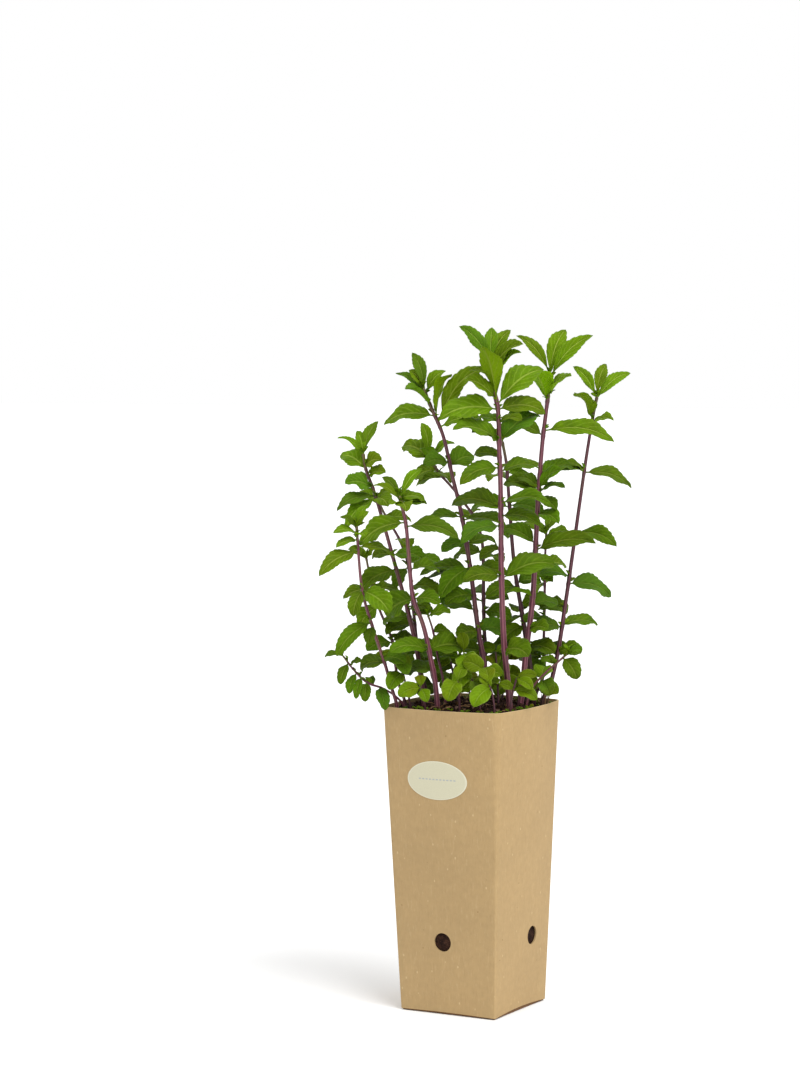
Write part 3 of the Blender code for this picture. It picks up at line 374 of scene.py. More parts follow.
def wall_out(across, height):
    """How far out a wall lies at a place on it."""
    share = height / POT_HEIGHT
    half = POT_BASE_HALF + (POT_RIM_HALF - POT_BASE_HALF) * share
    return half + RIM_BULGE * share**BULGE_POWER * (1.0 - (across / half) ** 2)


def pot_outline(height, inset, steps, bends=5):
    """The pot's outline at a height, set in evenly: four bulged walls and a parabola round each corner."""
    share = height / POT_HEIGHT
    half = POT_BASE_HALF + (POT_RIM_HALF - POT_BASE_HALF) * share
    corner = CORNER_BASE + (CORNER_RIM - CORNER_BASE) * share**2
    across = np.linspace(-1.0, 1.0, steps + 1) * (half - corner)
    wall = np.stack([across, -wall_out(across, height)], axis=1)
    t = np.arange(1, bends + 1)[:, None] / (bends + 1.0)
    start = np.array([-wall[0, 1], wall[0, 0]])
    bend = (1 - t) ** 2 * wall[-1] + 2 * t * (1 - t) * np.array([half, -half]) + t**2 * start
    walls = [np.vstack([wall, bend])]
    for _ in range(3):
        walls.append(np.stack([-walls[-1][:, 1], walls[-1][:, 0]], axis=1))
    points = np.vstack(walls)
    ahead = np.roll(points, -1, axis=0) - np.roll(points, 1, axis=0)
    return points - unit_rows(np.stack([ahead[:, 1], -ahead[:, 0]], axis=1)) * inset


def ring_quads(rings, around, loop=False):
    """Quads between rings of points that each close on themselves; with loop the last joins the first."""
    row = np.arange(rings if loop else rings - 1)[:, None]
    low, high = row * around, ((row + 1) % rings) * around
    j = np.arange(around)[None, :]
    k = (j + 1) % around
    return np.stack([low + j, low + k, high + k, high + j], axis=-1).reshape(-1, 4)


def end_fans(rings, around):
    """Triangles that close the first and the last ring on two centre points that follow the rings."""
    j = np.arange(around)
    k = (j + 1) % around
    last = (rings - 1) * around
    first = np.full(around, rings * around)
    return np.vstack([np.stack([k, j, first], 1), np.stack([last + j, last + k, first + 1], 1)])


def with_ends(rings):
    """The rows of every ring (ring, point, axis), then the mean of the first ring and of the last."""
    return np.vstack([rings.reshape(-1, rings.shape[-1]), rings[0].mean(axis=0), rings[-1].mean(axis=0)])


def closed_skin(rings):
    """The points and the list of faces of a closed skin through rings."""
    count, around = rings.shape[:2]
    return with_ends(rings), ring_quads(count, around).tolist() + end_fans(count, around).tolist()


def tube(path, widths, swell=0.0):
    """A closed square tube along a path, its sides carried along without twisting."""
    ahead = np.gradient(path, axis=0)
    side = unit(np.cross(ahead[0], (0.35, 0.94, 0.0)))
    rings = []
    for point, along, width in zip(path, ahead, widths):
        along = unit(along)
        side = unit(side - along * (side @ along))
        other = np.cross(along, side)
        half = 0.5 * width + swell
        rings.append([point + half * (a * side + b * other) for a, b in ((1, 1), (-1, 1), (-1, -1), (1, -1))])
    return closed_skin(np.array(rings))


def ease_up(up, top):
    """0 at the soil, rising ever faster to 1 at a stem's top."""
    return ((up - STEM_DATUM) / (top - STEM_DATUM)) ** 1.3


class Stem:
    """A stem's path and widths, whether it is one of the low sprigs, and the leaves found for it."""

    def __init__(self, name, widths, foot, lean, way, depth):
        top = way[-1][2]
        rows = [(*foot, STEM_DATUM - depth), (*foot, STEM_DATUM + FOOT_RISE)]
        rows += [(across, away + lean * ease_up(up, top), up) for across, away, up in way]
        self.name = name
        self.low = name.startswith("basal")
        self.rows = np.array(rows, float)
        self.path = np.array([in_row(*row) for row in rows])
        self.path[:2, :2] = in_row(*foot, STEM_DATUM)[:2]
        self.path[:2, 2] = self.rows[:2, 2]
        span = (self.path[:, 2] - self.path[0, 2]) / (self.path[-1, 2] - self.path[0, 2])
        self.widths = widths[0] + (widths[1] - widths[0]) * span
        self.leaves = []

    def root(self, up):
        """The place on the stem's middle line at a measured height."""
        share = np.interp(up, self.rows[:, 2], np.arange(len(self.rows)))
        low = min(int(share), len(self.rows) - 2)
        return self.path[low] + (self.path[low + 1] - self.path[low]) * (share - low)


def level_reach(length, rise):
    """How far a leaf reaches on the level: at least a fifth of its length."""
    return math.sqrt(max(length**2 - rise**2, 0.04 * length**2))


def midrib(root, leaf, share):
    """Points along a leaf's midrib, a chord from root to tip bowed upwards."""
    heading, length, rise = leaf[1:4]
    chord = direction(heading) * level_reach(length, rise) + UP * rise
    along = unit(chord)
    lift = unit(UP - along * along[2])
    bow = BOW * length * 4.0 * share * (1.0 - share) * (0.8 + 0.4 * share)
    return root + np.outer(share, chord) + np.outer(bow, lift)


def leaf_frame(slope, face):
    """Unit vectors along a leaf, to its side and out of its upper face, from its midrib's slope."""
    along = unit_rows(slope)
    facing = math.radians(face)
    upward = math.cos(facing) * UP + math.sin(facing) * direction(270.0)
    normal = unit_rows(upward - along * (along @ upward)[:, None])
    return along, np.cross(along, normal), normal


def half_width(share, leaf):
    """The blade's outline: a short stalk, then an egg shape.

    It is widest nearer the tip the steeper the leaf stands, and rounder towards the soil.
    """
    up, _, length, rise, width, _ = leaf
    x = np.clip((share - STALK_SHARE) / (1.0 - STALK_SHARE), 0.0, 1.0)
    steep = np.clip((rise / length - 0.35) / 0.4, 0.0, 1.0)
    low = np.clip((ROUND_BELOW - up) / ROUND_BAND, 0.0, 1.0)
    peak = 0.8 + 0.4 * steep + 0.1 * low * (1.0 - steep)
    blunt = 0.78 + 0.12 * steep - 0.24 * low
    return np.maximum(0.5 * width * np.sin(math.pi * x**peak) ** blunt, 0.0)


def blade(root, leaf, swell=0.0):
    """The part's own leaf: thin, closed, with a toothed margin, thickest along its midrib."""
    if leaf[2] < SMALL_LEAF:
        rib_share = np.array([0.0, 0.45, 1.0])
        edge_share = np.array([0.0, 0.16, 0.36, 0.68, 1.0])
        tooth = np.zeros(5)
    else:
        rib_share = np.array([0.0, 0.13, 0.5, 1.0])
        edge_share = np.array([0.0, 0.13, 0.28, 0.42, 0.56, 0.70, 0.84, 1.0])
        tooth = np.array([0, 0, 0.6, -1, 1, -1, 1, 0]) * TOOTH
    every = np.unique(np.concatenate([rib_share, edge_share]))
    middle = midrib(root, leaf, every)
    along, side, normal = leaf_frame(np.gradient(middle, axis=0), leaf[5])
    rib = np.searchsorted(every, rib_share)[:-1]
    edge = np.searchsorted(every, edge_share)[:-1]
    out = np.maximum(half_width(edge_share, leaf) * (1.0 + tooth), STALK_HALF)[:-1, None] + swell
    fold = math.radians(FOLD)
    lifted = np.where(edge_share > 0.13, math.sin(fold), 0.0)[:-1, None]
    thick = RIB_HALF_THICK + swell
    points = [middle[rib] + sign * thick * normal[rib] for sign in (1.0, -1.0)]
    for sign in (1.0, -1.0):
        points.append(middle[edge] + sign * out * math.cos(fold) * side[edge] + out * lifted * normal[edge])
    points.append(middle[-1:] + swell * along[-1])
    return np.vstack(points), blade_faces(rib_share, edge_share)


def blade_faces(rib_share, edge_share):
    """Triangles between the midrib and each margin, alike on both faces, and the root's cap."""
    ribs, edges = len(rib_share) - 1, len(edge_share) - 1
    tip = 2 * ribs + 2 * edges
    faces = []
    for face, side in ((0, 0), (0, 1), (1, 0), (1, 1)):
        rib = [face * ribs + i for i in range(ribs)] + [tip]
        edge = [2 * ribs + side * edges + i for i in range(edges)] + [tip]
        a = b = 0
        while a < ribs or b < edges:
            if a == ribs or (b < edges and edge_share[b + 1] <= rib_share[a + 1]):
                triangle = (rib[a], edge[b], edge[b + 1])
                b += 1
            else:
                triangle = (rib[a], edge[b], rib[a + 1])
                a += 1
            if len(set(triangle)) == 3:
                faces.append(triangle if face == side else triangle[::-1])
    left, right = 2 * ribs, 2 * ribs + edges
    return faces + [(0, right, left), (left, right, ribs)]


class Room:
    """What is already placed, to keep each new leaf clear of the pieces it isn't part of."""

    def __init__(self):
        self.placed = []
        self.low = []
        self.high = []

    def add(self, owner, height, points, faces):
        """Notes a shape, its owner and, for a leaf, the height of its root."""
        self.placed.append((owner, height, BVHTree.FromPolygons(points.tolist(), faces)))
        self.low.append(points.min(axis=0))
        self.high.append(points.max(axis=0))

    def touches(self, owner, height, points, faces, own):
        """Whether a shape meets another owner's, or with own set, the same owner's at other heights."""
        low, high = points.min(axis=0), points.max(axis=0)
        near = np.all((np.array(self.low) < high) & (np.array(self.high) > low), axis=1)
        tree = None
        for i in np.flatnonzero(near):
            other, at, placed = self.placed[i]
            if (other == owner) != own or (own and (at is None or abs(at - height) < OWN_SPACING)):
                continue
            if tree is None:
                tree = BVHTree.FromPolygons(points.tolist(), faces)
            if tree.overlap(placed):
                return True
        return False


# Changes tried in turn on a leaf that meets a neighbour: heading, rise, share of its length
TRIES = tuple(
    (turn, lift, size)
    for size in (1.0, 0.9, 0.78, 0.64)
    for turn, lift in (
        (0, 0), (8, 0), (-8, 0), (0, 5), (0, -5), (16, 3), (-16, 3), (12, -6), (-12, -6),
        (26, 0), (-26, 0), (0, 12), (0, -12), (38, 6), (-38, 6), (38, -8), (-38, -8),
    )
)


def place_leaf(stem, leaf, room):
    """Adds the leaf to its stem in the first pose that is clear of every other piece."""
    root = stem.root(leaf[0])
    spare = None
    for turn, lift, size in TRIES:
        up, heading, length, rise, width, face = leaf
        rise = max(min(rise * size + lift, 0.97 * length * size), -0.9 * length * size)
        trial = (up, heading + turn, length * size, rise, width * size, face)
        points, faces = blade(root, trial, CLEARANCE)
        if room.touches(stem.name, up, points, faces, own=False):
            continue
        if spare is None:
            spare = trial
        if not room.touches(stem.name, up, points, faces, own=True):
            spare = trial
            break
    if spare is None:
        return False
    points, faces = blade(root, spare)
    room.add(stem.name, leaf[0], points, faces)
    stem.leaves.append(spare)
    return True


def turned_pairs(leaves):
    """Turns the pairs of leaves up a stem by turns towards the eye and away.

    Each leaf keeps its measured reach across, so it grows longer as it turns, to a limit.
    """
    turned = []
    pair = 0
    last = None
    for up, heading, length, rise, width, face in sorted(leaves):
        if last is not None and up - last > PAIR_GAP:
            pair += 1
        last = up
        across = level_reach(length, rise) * math.cos(math.radians(heading))
        off = (heading if across > 0 else 180 - heading + 360) % 360
        off = off - 360 if off > 180 else off
        if abs(off) < SIDEWAYS and abs(rise) < STEEP * length:
            room = math.sqrt(max(LONGEST_LEAF**2 - rise**2, 1.0))
            most = math.degrees(math.acos(min(abs(across) / room, 1.0)))
            side = 1.0 if (pair % 2) == (across > 0) else -1.0
            off = side * min(PAIR_TURN, max(most, abs(off)))
            reach = abs(across) / math.cos(math.radians(off))
            length = math.hypot(reach, rise)
            heading = off if across > 0 else 180 - off
        turned.append((up, heading, length, rise, width, face))
    return sorted(turned, key=lambda leaf: (-leaf[0], -leaf[2]))


def sprig_leaves(draw, low, high, lean):
    """Pairs of uneven round leaves down a short sprig from its tip, each pair turned across the last.

    The pair at the tip spreads to the sides of the way the sprig leans. Leaves nod towards the eye.
    """
    leaves = []
    pairs = 1 + int((high - low) / SPRIG_STEP)
    turn = lean + 90.0
    for pair in range(pairs):
        above = (high - low) * (1.0 - pair / pairs) - 1.0
        for half in (0.0, 180.0):
            heading = turn + half + draw.uniform(-SPRIG_SWING, SPRIG_SWING)
            away = math.sin(math.radians(heading))
            size = SPRIG_LEAF * (1.0 - 0.006 * above) * draw.uniform(*SPRIG_SIZES)
            rise = size * (SPRIG_NOD * away + draw.uniform(-0.1, 0.1 + 0.01 * above))
            face = draw.uniform(*SPRIG_FACES)
            leaves.append((low + above, heading, size, rise, size * SPRIG_ROUND, face))
        turn += SPRIG_TURN
    return leaves


def lay_out_plant():
    """Every stem with its leaves, each leaf kept clear of the other stems, the pot and the soil."""
    draw = np.random.default_rng(SEED)
    stems = []
    wanted = []
    for name, widths, foot, lean, way, leaves in STEMS:
        stems.append(Stem(name, widths, foot, lean, way, STEM_DEPTH))
        wanted.append(turned_pairs(leaves))
    for number, (across, away, high, lean, measured) in enumerate(SPRIGS):
        level = direction(lean - SIGHT_TURN)
        rise = high - STEM_DATUM
        way = [
            (across + swing * rise * level[0], away + swing * rise * level[1], STEM_DATUM + share * rise)
            for swing, share in ((0.10, 0.5), (0.25, 1.0))
        ]
        name = f"basal_sprig_{number + 1:02d}"
        stems.append(Stem(name, SPRIG_WIDTHS, (across, away), 0, way, SPRIG_DEPTH))
        grown = sprig_leaves(draw, STEM_DATUM + SPRIG_START, high, lean)
        wanted.append(list(measured) or grown)
    room = Room()
    rim = []
    for level, inset, size, height in RIM_SKIN:
        ring = pot_outline(level, inset, WALL_STEPS, 1) * size
        rim.append(np.column_stack([ring, np.full(len(ring), height)]))
    room.add("pot", None, *closed_skin(np.array(rim)))
    for stem in stems:
        room.add(stem.name, None, *tube(stem.path, stem.widths, CLEARANCE))
    dropped = 0
    for stem, leaves in zip(stems, wanted):
        for leaf in leaves:
            dropped += not place_leaf(stem, leaf, room)
    print("leaves placed", sum(len(stem.leaves) for stem in stems), "left out", dropped)
    return stems


# Fine leaves and stems: veins, teeth as shares of the length, buds, and the points up a stem
VEIN_SLANT = 0.38
VEIN_BEND = 1.15
TEETH_START = 0.175
TEETH_SPAN = 0.785
TWIST = 11.0
FULL_WIDTH = 24.0
BUD_SHARE = 0.7
TIP_LEAVES = 5
STEM_STEP = 2.5
JOINT_HALF = 1.8
LEAF_VALUES = ("age", "tone", "under")
STEM_VALUES = ("ridge", "tip", "joint", "shade")
STEM_SKIN = "square_stem_purple"

# Fine soil, and what lies on it
LATTICE = 128
SOIL_HALF = 64.0
SOIL_STEPS = 30
SOIL_RINGS = 45
GOLDEN = (1.0 + math.sqrt(5.0)) / 2.0
HOLE_CRUMBS = 60
SEEDLINGS = 46
DRY_LEAVES = 15
DRY_SPREAD = 50.0
TWIGS = 30
TWIG_SPREAD = 52.0
DRY_STALKS = 6
DRY_CORNER = 57.0

# The cutters of the round holes
DRILL_SIDES = 64
DRILL_REACH = 10.0


def ease(value, low, high):
    """0 below low, 1 above high and a smooth step between."""
    share = np.clip((value - low) / (high - low), 0.0, 1.0)
    return share * share * (3.0 - 2.0 * share)


def lattice_noise(x, y, cell, seed):
    """Random heights on a square lattice, eased from one lattice point to the next, from -1 to 1."""
    lattice = np.random.default_rng(seed).uniform(-1.0, 1.0, (LATTICE, LATTICE))
    u, v = np.asarray(x) / cell + LATTICE / 2, np.asarray(y) / cell + LATTICE / 2
    i, j = np.floor(u).astype(int), np.floor(v).astype(int)
    a, b = ease(u - i, 0.0, 1.0), ease(v - j, 0.0, 1.0)
    i, j, k, m = i % LATTICE, j % LATTICE, (i + 1) % LATTICE, (j + 1) % LATTICE
    low = lattice[i, j] * (1.0 - a) + lattice[k, j] * a
    high = lattice[i, m] * (1.0 - a) + lattice[k, m] * a
    return low * (1.0 - b) + high * b


class Shell:
    """Points in millimetres, faces and numbers at each point, gathered for one piece."""

    def __init__(self, *names):
        self.count = 0
        self.points = []
        self.uv = []
        self.loops = []
        self.sizes = []
        self.values = {name: [] for name in names}

    def add(self, points, faces, uv=None, **values):
        """Adds points, blocks of faces that count from them, and the numbers at each point."""
        self.points.append(points)
        self.uv.append(np.zeros((len(points), 2)) if uv is None else uv)
        for name, kept in self.values.items():
            kept.append(np.broadcast_to(np.asarray(values[name], float), (len(points),)))
        for block in faces:
            self.loops.append((block + self.count).ravel())
            self.sizes.append(np.full(len(block), block.shape[1]))
        self.count += len(points)

    def add_tube(self, rings, uv=None, **values):
        """A closed tube through an array of rings (ring, point, axis), a fan closing each end."""
        count, around = rings.shape[:2]
        for name, value in values.items():
            value = np.broadcast_to(np.asarray(value, float), (count, around))
            values[name] = with_ends(value[..., None])[:, 0]
        faces = ring_quads(count, around), end_fans(count, around)
        self.add(with_ends(rings), faces, None if uv is None else with_ends(uv), **values)

    def piece(self, name, skin=None, sharp=None):
        """The object, with its place in its mesh and smooth faces."""
        mesh = bpy.data.meshes.new(name)
        points = np.vstack(self.points) * MM
        loops = np.concatenate(self.loops)
        sizes = np.concatenate(self.sizes)
        mesh.vertices.add(len(points))
        mesh.vertices.foreach_set("co", points.astype(np.float32).ravel())
        mesh.loops.add(len(loops))
        mesh.loops.foreach_set("vertex_index", loops.astype(np.int32))
        mesh.polygons.add(len(sizes))
        mesh.polygons.foreach_set("loop_start", (np.cumsum(sizes) - sizes).astype(np.int32))
        mesh.update(calc_edges=True)
        layer = mesh.uv_layers.new(name="Surface")
        layer.data.foreach_set("uv", np.vstack(self.uv)[loops].astype(np.float32).ravel())
        for key, values in self.values.items():
            attribute = mesh.attributes.new(key, "FLOAT", "POINT")
            attribute.data.foreach_set("value", np.concatenate(values).astype(np.float32))
        mesh.validate()
        smooth(mesh, sharp)
        if skin:
            mesh.materials.append(skin)
        obj = bpy.data.objects.new(name, mesh)
        bpy.context.scene.collection.objects.link(obj)
        return obj


def smooth(mesh, sharp):
    """Smooth faces, with an edge kept sharp where its faces meet at more than sharp degrees."""
    mesh.shade_smooth()
    if sharp:
        mesh.set_sharp_from_angle(angle=math.radians(sharp))


def settle(obj, slot, *nodes):
    """The piece rides on the root and stands for the named nodes, which it hides. The slot is not used."""
    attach(obj, "root")
    if nodes:
        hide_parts(*nodes)


class Finish:
    """The nodes of one material. A value that is a socket is linked, and any other is set."""

    def __init__(self, name):
        self.material = bpy.data.materials.new(name)
        self.material.use_nodes = True
        self.tree = self.material.node_tree
        self.shader = self.tree.nodes["Principled BSDF"]

    def put(self, socket, value):
        """Links a socket, or sets the value. A colour gets its full opacity."""
        if isinstance(value, bpy.types.NodeSocket):
            self.tree.links.new(value, socket)
        elif socket.type == "RGBA":
            socket.default_value = (*value, 1.0)
        else:
            socket.default_value = value

    def node(self, kind, inputs=None, output=0, **settings):
        """A new node with its settings and inputs. It gives one of its outputs."""
        node = self.tree.nodes.new(kind)
        for name, value in settings.items():
            setattr(node, name, value)
        for key, value in (inputs or {}).items():
            self.put(node.inputs[key], value)
        return node.outputs[output]

    def math(self, operation, a, b=0.0, c=0.0):
        return self.node("ShaderNodeMath", {0: a, 1: b, 2: c}, operation=operation)

    def times(self, a, b):
        return self.math("MULTIPLY", a, b)

    def ramp(self, value, low, high, start=0.0, end=1.0):
        """A smooth step from start to end as the value goes from low to high."""
        inputs = {0: value, 1: low, 2: high, 3: start, 4: end}
        return self.node("ShaderNodeMapRange", inputs, interpolation_type="SMOOTHSTEP")

    def mix(self, share, a, b):
        """The first colour, with a share of the second laid over it."""
        return self.node("ShaderNodeMix", {0: share, 6: a, 7: b}, 2, data_type="RGBA")

    def attribute(self, name):
        """A number kept at each point of the mesh."""
        return self.node("ShaderNodeAttribute", output=2, attribute_name=name)

    def place(self):
        """The place in the object's own metres."""
        return self.node("ShaderNodeTexCoord", output=3)

    def scaled(self, vector, scale):
        """The place multiplied along each axis, which stretches a texture."""
        return self.node("ShaderNodeMapping", {0: vector, 3: scale})

    def noise(self, vector, scale, detail=2.0, rough=0.5):
        inputs = {"Vector": vector, "Scale": scale, "Detail": detail, "Roughness": rough}
        return self.node("ShaderNodeTexNoise", inputs)

    def cells(self, vector, scale, feature="F1", output=0):
        return self.node("ShaderNodeTexVoronoi", {"Vector": vector, "Scale": scale}, output, feature=feature)

    def shift(self, colour, value, hue=0.5):
        """The colour with its brightness multiplied, and its hue moved."""
        return self.node("ShaderNodeHueSaturation", {"Hue": hue, "Value": value, "Color": colour})

    def split(self, vector):
        """The three numbers of a vector."""
        node = self.tree.nodes.new("ShaderNodeSeparateXYZ")
        self.tree.links.new(vector, node.inputs[0])
        return node.outputs

    def bump(self, height, distance, strength=1.0):
        return self.node("ShaderNodeBump", {"Height": height, "Distance": distance, "Strength": strength})

    def uneven(self, colour, value, low, high):
        """The colour, its brightness running from low to high as a noise goes from 0.3 to 0.7."""
        return self.shift(colour, self.ramp(value, 0.3, 0.7, low, high))

    def surface(self, **values):
        """The finished material, its shader's inputs named with _ for a space."""
        for name, value in values.items():
            self.put(self.shader.inputs[name.replace("_", " ")], value)
        return self.material


def colour(name, description, red, green, blue):
    """A colour property whose default is given in the usual 0 to 255 steps."""
    steps = np.array([red, green, blue]) / 255.0
    linear = np.where(steps <= 0.04045, steps / 12.92, ((steps + 0.055) / 1.055) ** 2.4)
    default = tuple(float(value) for value in linear)
    return FloatVectorProperty(
        name=name, description=description, default=default, min=0.0, max=1.0, subtype="COLOR"
    )


def amount(name, description, default, low, high):
    return FloatProperty(name=name, description=description, default=default, min=low, max=high)


def whole(name, description, default, low, high):
    return IntProperty(name=name, description=description, default=default, min=low, max=high)


class LeafSettings(bpy.types.PropertyGroup):
    """Colours of the leaves and the relief of their blades"""

    young: colour("Young leaf", "Upper side of the leaves at the top of a stem", 97, 129, 1)
    grown: colour("Grown leaf", "Upper side of the leaves further down", 76, 106, 1)
    low: colour("Low leaf", "Upper side of the round leaves near the soil", 92, 115, 2)
    worn: colour("Worn leaf", "Olive brown of ageing patches", 112, 104, 8)
    # Painted shade: a darker, cooler copy of the leaf green, laid on a few leaves chosen at random
    deep: colour("Deep leaf", "Cooler green of the few darker leaves", 58, 90, 18)
    under: colour("Underside", "Lower side of a leaf", 88, 120, 10)
    vein: colour("Vein", "Midrib and side veins", 146, 168, 62)
    thickness: amount("Thickness", "Blade thickness at the midrib in millimetres", 0.5, 0.1, 2.0)
    quilt: amount("Quilting", "Rise of the blade between its side veins in millimetres", 1.15, 0.0, 2.0)
    wave: amount("Wave", "Wave of the margin as a share of the width", 0.085, 0.0, 0.2)
    tooth: amount("Teeth", "Depth of the teeth as a share of the half width", 0.085, 0.0, 0.4)
    veins: whole("Side veins", "Side veins on each half", 6, 2, 12)


class StemSettings(bpy.types.PropertyGroup):
    """Colours and section of the stems"""

    # Painted highlight and painted shade: the stem's purple, darker down the grooves and lighter along the
    # ridges
    dark: colour("Groove", "Colour down the grooves of a stem", 66, 26, 38)
    light: colour("Ridge", "Colour along the ridges of a stem", 134, 79, 91)
    green: colour("Tip", "Colour of a stem near its tip", 104, 112, 40)
    groove: amount("Groove depth", "Depth of the four grooves as a share of the width", 0.09, 0.0, 0.3)
    swell: amount("Joint swelling", "Swelling at each leaf pair as a share of the width", 0.22, 0.0, 1.0)
    around: whole("Points around", "Points around a stem", 20, 8, 64)


class CartonSettings(bpy.types.PropertyGroup):
    """Colours and fineness of the carton pot"""

    board: colour("Board", "Face of the brown board", 164, 137, 94)
    light: colour("Light fibre", "Light fibres in the board", 196, 172, 130)
    dark: colour("Dark fibre", "Dark fibres in the board", 128, 100, 62)
    cut: colour("Cut edge", "Cut edge of the board at the rim", 192, 168, 124)
    # Painted shade: the base flaps' board, darker than the walls as the shadow under the pot
    flap: colour("Base flap", "Shaded base flaps under the walls", 112, 80, 48)
    steps: whole("Wall cells", "Cells across each wall", 24, 6, 96)
    levels: whole("Wall rows", "Rows of cells up each wall", 44, 6, 200)
    arch: amount("Arched edge", "Rise of a wall's lower edge over a base flap in millimetres", 2.3, 0.0, 6.0)


class LabelSettings(bpy.types.PropertyGroup):
    """Colours and fineness of the label"""

    paper: colour("Paper", "Face of the label", 190, 186, 160)
    border: colour("Border", "Lighter rim of the label", 200, 197, 174)
    line: colour("Line", "Dotted line to write on", 142, 150, 160)
    around: whole("Points around", "Points around the oval", 96, 24, 256)


class SoilSettings(bpy.types.PropertyGroup):
    """Colours, lumps and crumbs of the soil"""

    dark: colour("Wet soil", "Dark crumbs", 35, 21, 16)
    light: colour("Dry soil", "Lighter crumbs", 84, 56, 42)
    dry: colour("Dry litter", "Dry leaf flakes and twigs", 148, 112, 70)
    lumps: amount("Lumps", "Height of the lumps on the soil in millimetres", 2.2, 0.0, 10.0)
    crumbs: whole("Crumbs", "Loose crumbs on the soil", 900, 0, 5000)


class StageSettings(bpy.types.PropertyGroup):
    """Floor and light"""

    floor: colour("Floor", "Plain pale floor", 240, 240, 240)
    sky: amount("Sky", "Strength of the even white light", 1.0, 0.0, 10.0)
    key: amount("Key light", "Strength of the soft light from above and the right", 2.2, 0.0, 50.0)
    softness: amount("Softness", "How wide the key light looks in degrees", 34.0, 0.0, 180.0)


def leaf_stations(teeth):
    """Shares of the leaf's length for its cross rows, and how far each row is out along a tooth."""
    if not teeth:
        shares = np.array([0.0, 0.10, 0.22, 0.40, 0.62, 0.84, 1.0])
        return shares, np.zeros(len(shares))
    pitch = TEETH_SPAN / teeth
    start = TEETH_START + np.arange(teeth)[:, None] * pitch
    rows = (start + np.array([0.0, 0.4, 0.72]) * pitch).ravel()
    shares = np.concatenate([[0.0, 0.045, 0.085, 0.115, 0.145], rows, [0.975, 1.0]])
    tooth = np.concatenate([np.zeros(5), np.tile([0.0, 0.75, 1.0], teeth), [0.0, 0.0]])
    return shares, tooth


def add_leaf(shell, root, leaf, look, draw, teeth, age, notch=1.0):
    """A closed blade on a grid of shares along the midrib by shares across.

    Each cross row runs out from the bowed midrib, folded up in a shallow V that eases off outwards.
    The blade bulges between slanting side veins, waves along its margin, is cut into forward teeth,
    twists and curls a little, and thickens to a round stalk at its root and a rib underneath.
    """
    length, width = leaf[2], leaf[4]
    stations, tooth = leaf_stations(teeth)
    half_row = np.array([0.0, 0.07, 0.22, 0.40, 0.60, 0.80, 1.0] if teeth else [0.0, 0.4, 1.0])
    row = np.concatenate([-half_row[:0:-1], half_row])
    out = np.abs(row)
    share, tooth = stations[:, None], tooth[:, None]
    half = half_width(share, leaf) * (1.0 + look.tooth * notch * (tooth - 0.5))
    half = np.maximum(half, STALK_HALF)
    half[-1] = 0.05
    middle = midrib(root, leaf, stations)
    along, level, upright = leaf_frame(np.gradient(middle, stations, axis=0), leaf[5])
    twist = math.radians(draw.uniform(-TWIST, TWIST)) * share
    side = level * np.cos(twist) + upright * np.sin(twist)
    normal = upright * np.cos(twist) - level * np.sin(twist)

    x = np.clip((share - 0.1) / 0.9, 0.0, 1.0)
    open_part = ease(share, 0.09, 0.19)
    fold = math.sin(math.radians(FOLD)) * draw.uniform(0.75, 1.2)
    lift = half * fold * open_part * (1.45 * out - 0.5 * out**2)
    phase = look.veins * (x - VEIN_SLANT * out**VEIN_BEND) + 0.15 * (row > 0)
    bulge = 0.5 - 0.5 * np.cos(2.0 * math.pi * phase)
    middle_part = open_part * (1.0 - ease(share, 0.86, 1.0))
    relief = look.quilt * (width / FULL_WIDTH) * bulge * out**0.6 * (1.0 - out**6) * middle_part
    starts = np.where(row > 0, draw.uniform(0.0, 6.3), draw.uniform(0.0, 6.3))
    swing = np.sin(2.0 * math.pi * draw.uniform(1.2, 2.2) * share + starts)
    wave = look.wave * width * out**2 * swing * middle_part
    curl = draw.uniform(-0.02, 0.30) * length * np.clip(share - 0.5, 0.0, 1.0) ** 2
    height = lift + relief + wave - curl
    across = half * row * math.cos(math.radians(FOLD))
    forward = 0.010 * length * notch * tooth * out**6
    sway = draw.uniform(-0.03, 0.03) * length * share**2
    sheet = middle[:, None, :] + side[:, None, :] * (across + sway)[..., None]
    sheet = sheet + along[:, None, :] * forward[..., None]
    stalk = (1.0 - open_part) * 0.75 * np.sqrt(1.0 - 0.96 * out**2)
    thin = open_part * 0.5 * look.thickness * (1.0 - 0.6 * out**2)
    rib = open_part * 0.75 * (1.0 - share) ** 0.5 * (width / FULL_WIDTH)
    keel = rib * np.exp(-((half * row / 0.8) ** 2))
    top = sheet + normal[:, None, :] * (height + stalk + thin)[..., None]
    bottom = sheet + normal[:, None, :] * (height - stalk - thin - keel)[..., None]
    rings = np.concatenate([top, bottom[:, ::-1]], axis=1)
    uv = np.stack(np.broadcast_arrays(x, np.concatenate([row, row[::-1]]) * 0.5 + 0.5), axis=-1)
    under = np.repeat([0.0, 1.0], len(row))
    shell.add_tube(rings, uv, age=age, tone=draw.uniform(0.0, 1.0), under=under)


def smooth_path(points, step):
    """A curve through the points: cubic pieces that share their slope where they meet."""
    points = np.asarray(points, float)
    reach = np.concatenate([[0.0], np.cumsum(np.linalg.norm(np.diff(points, axis=0), axis=1))])
    slope = np.gradient(points, reach, axis=0)
    at = np.linspace(0.0, reach[-1], int(reach[-1] / step) + 2)
    i = np.clip(np.searchsorted(reach, at, side="right") - 1, 0, len(points) - 2)
    span = (reach[i + 1] - reach[i])[:, None]
    t = (at - reach[i])[:, None] / span
    start = (2 * t**3 - 3 * t**2 + 1) * points[i] + (t**3 - 2 * t**2 + t) * span * slope[i]
    end = (3 * t**2 - 2 * t**3) * points[i + 1] + (t**3 - t**2) * span * slope[i + 1]
    return start + end


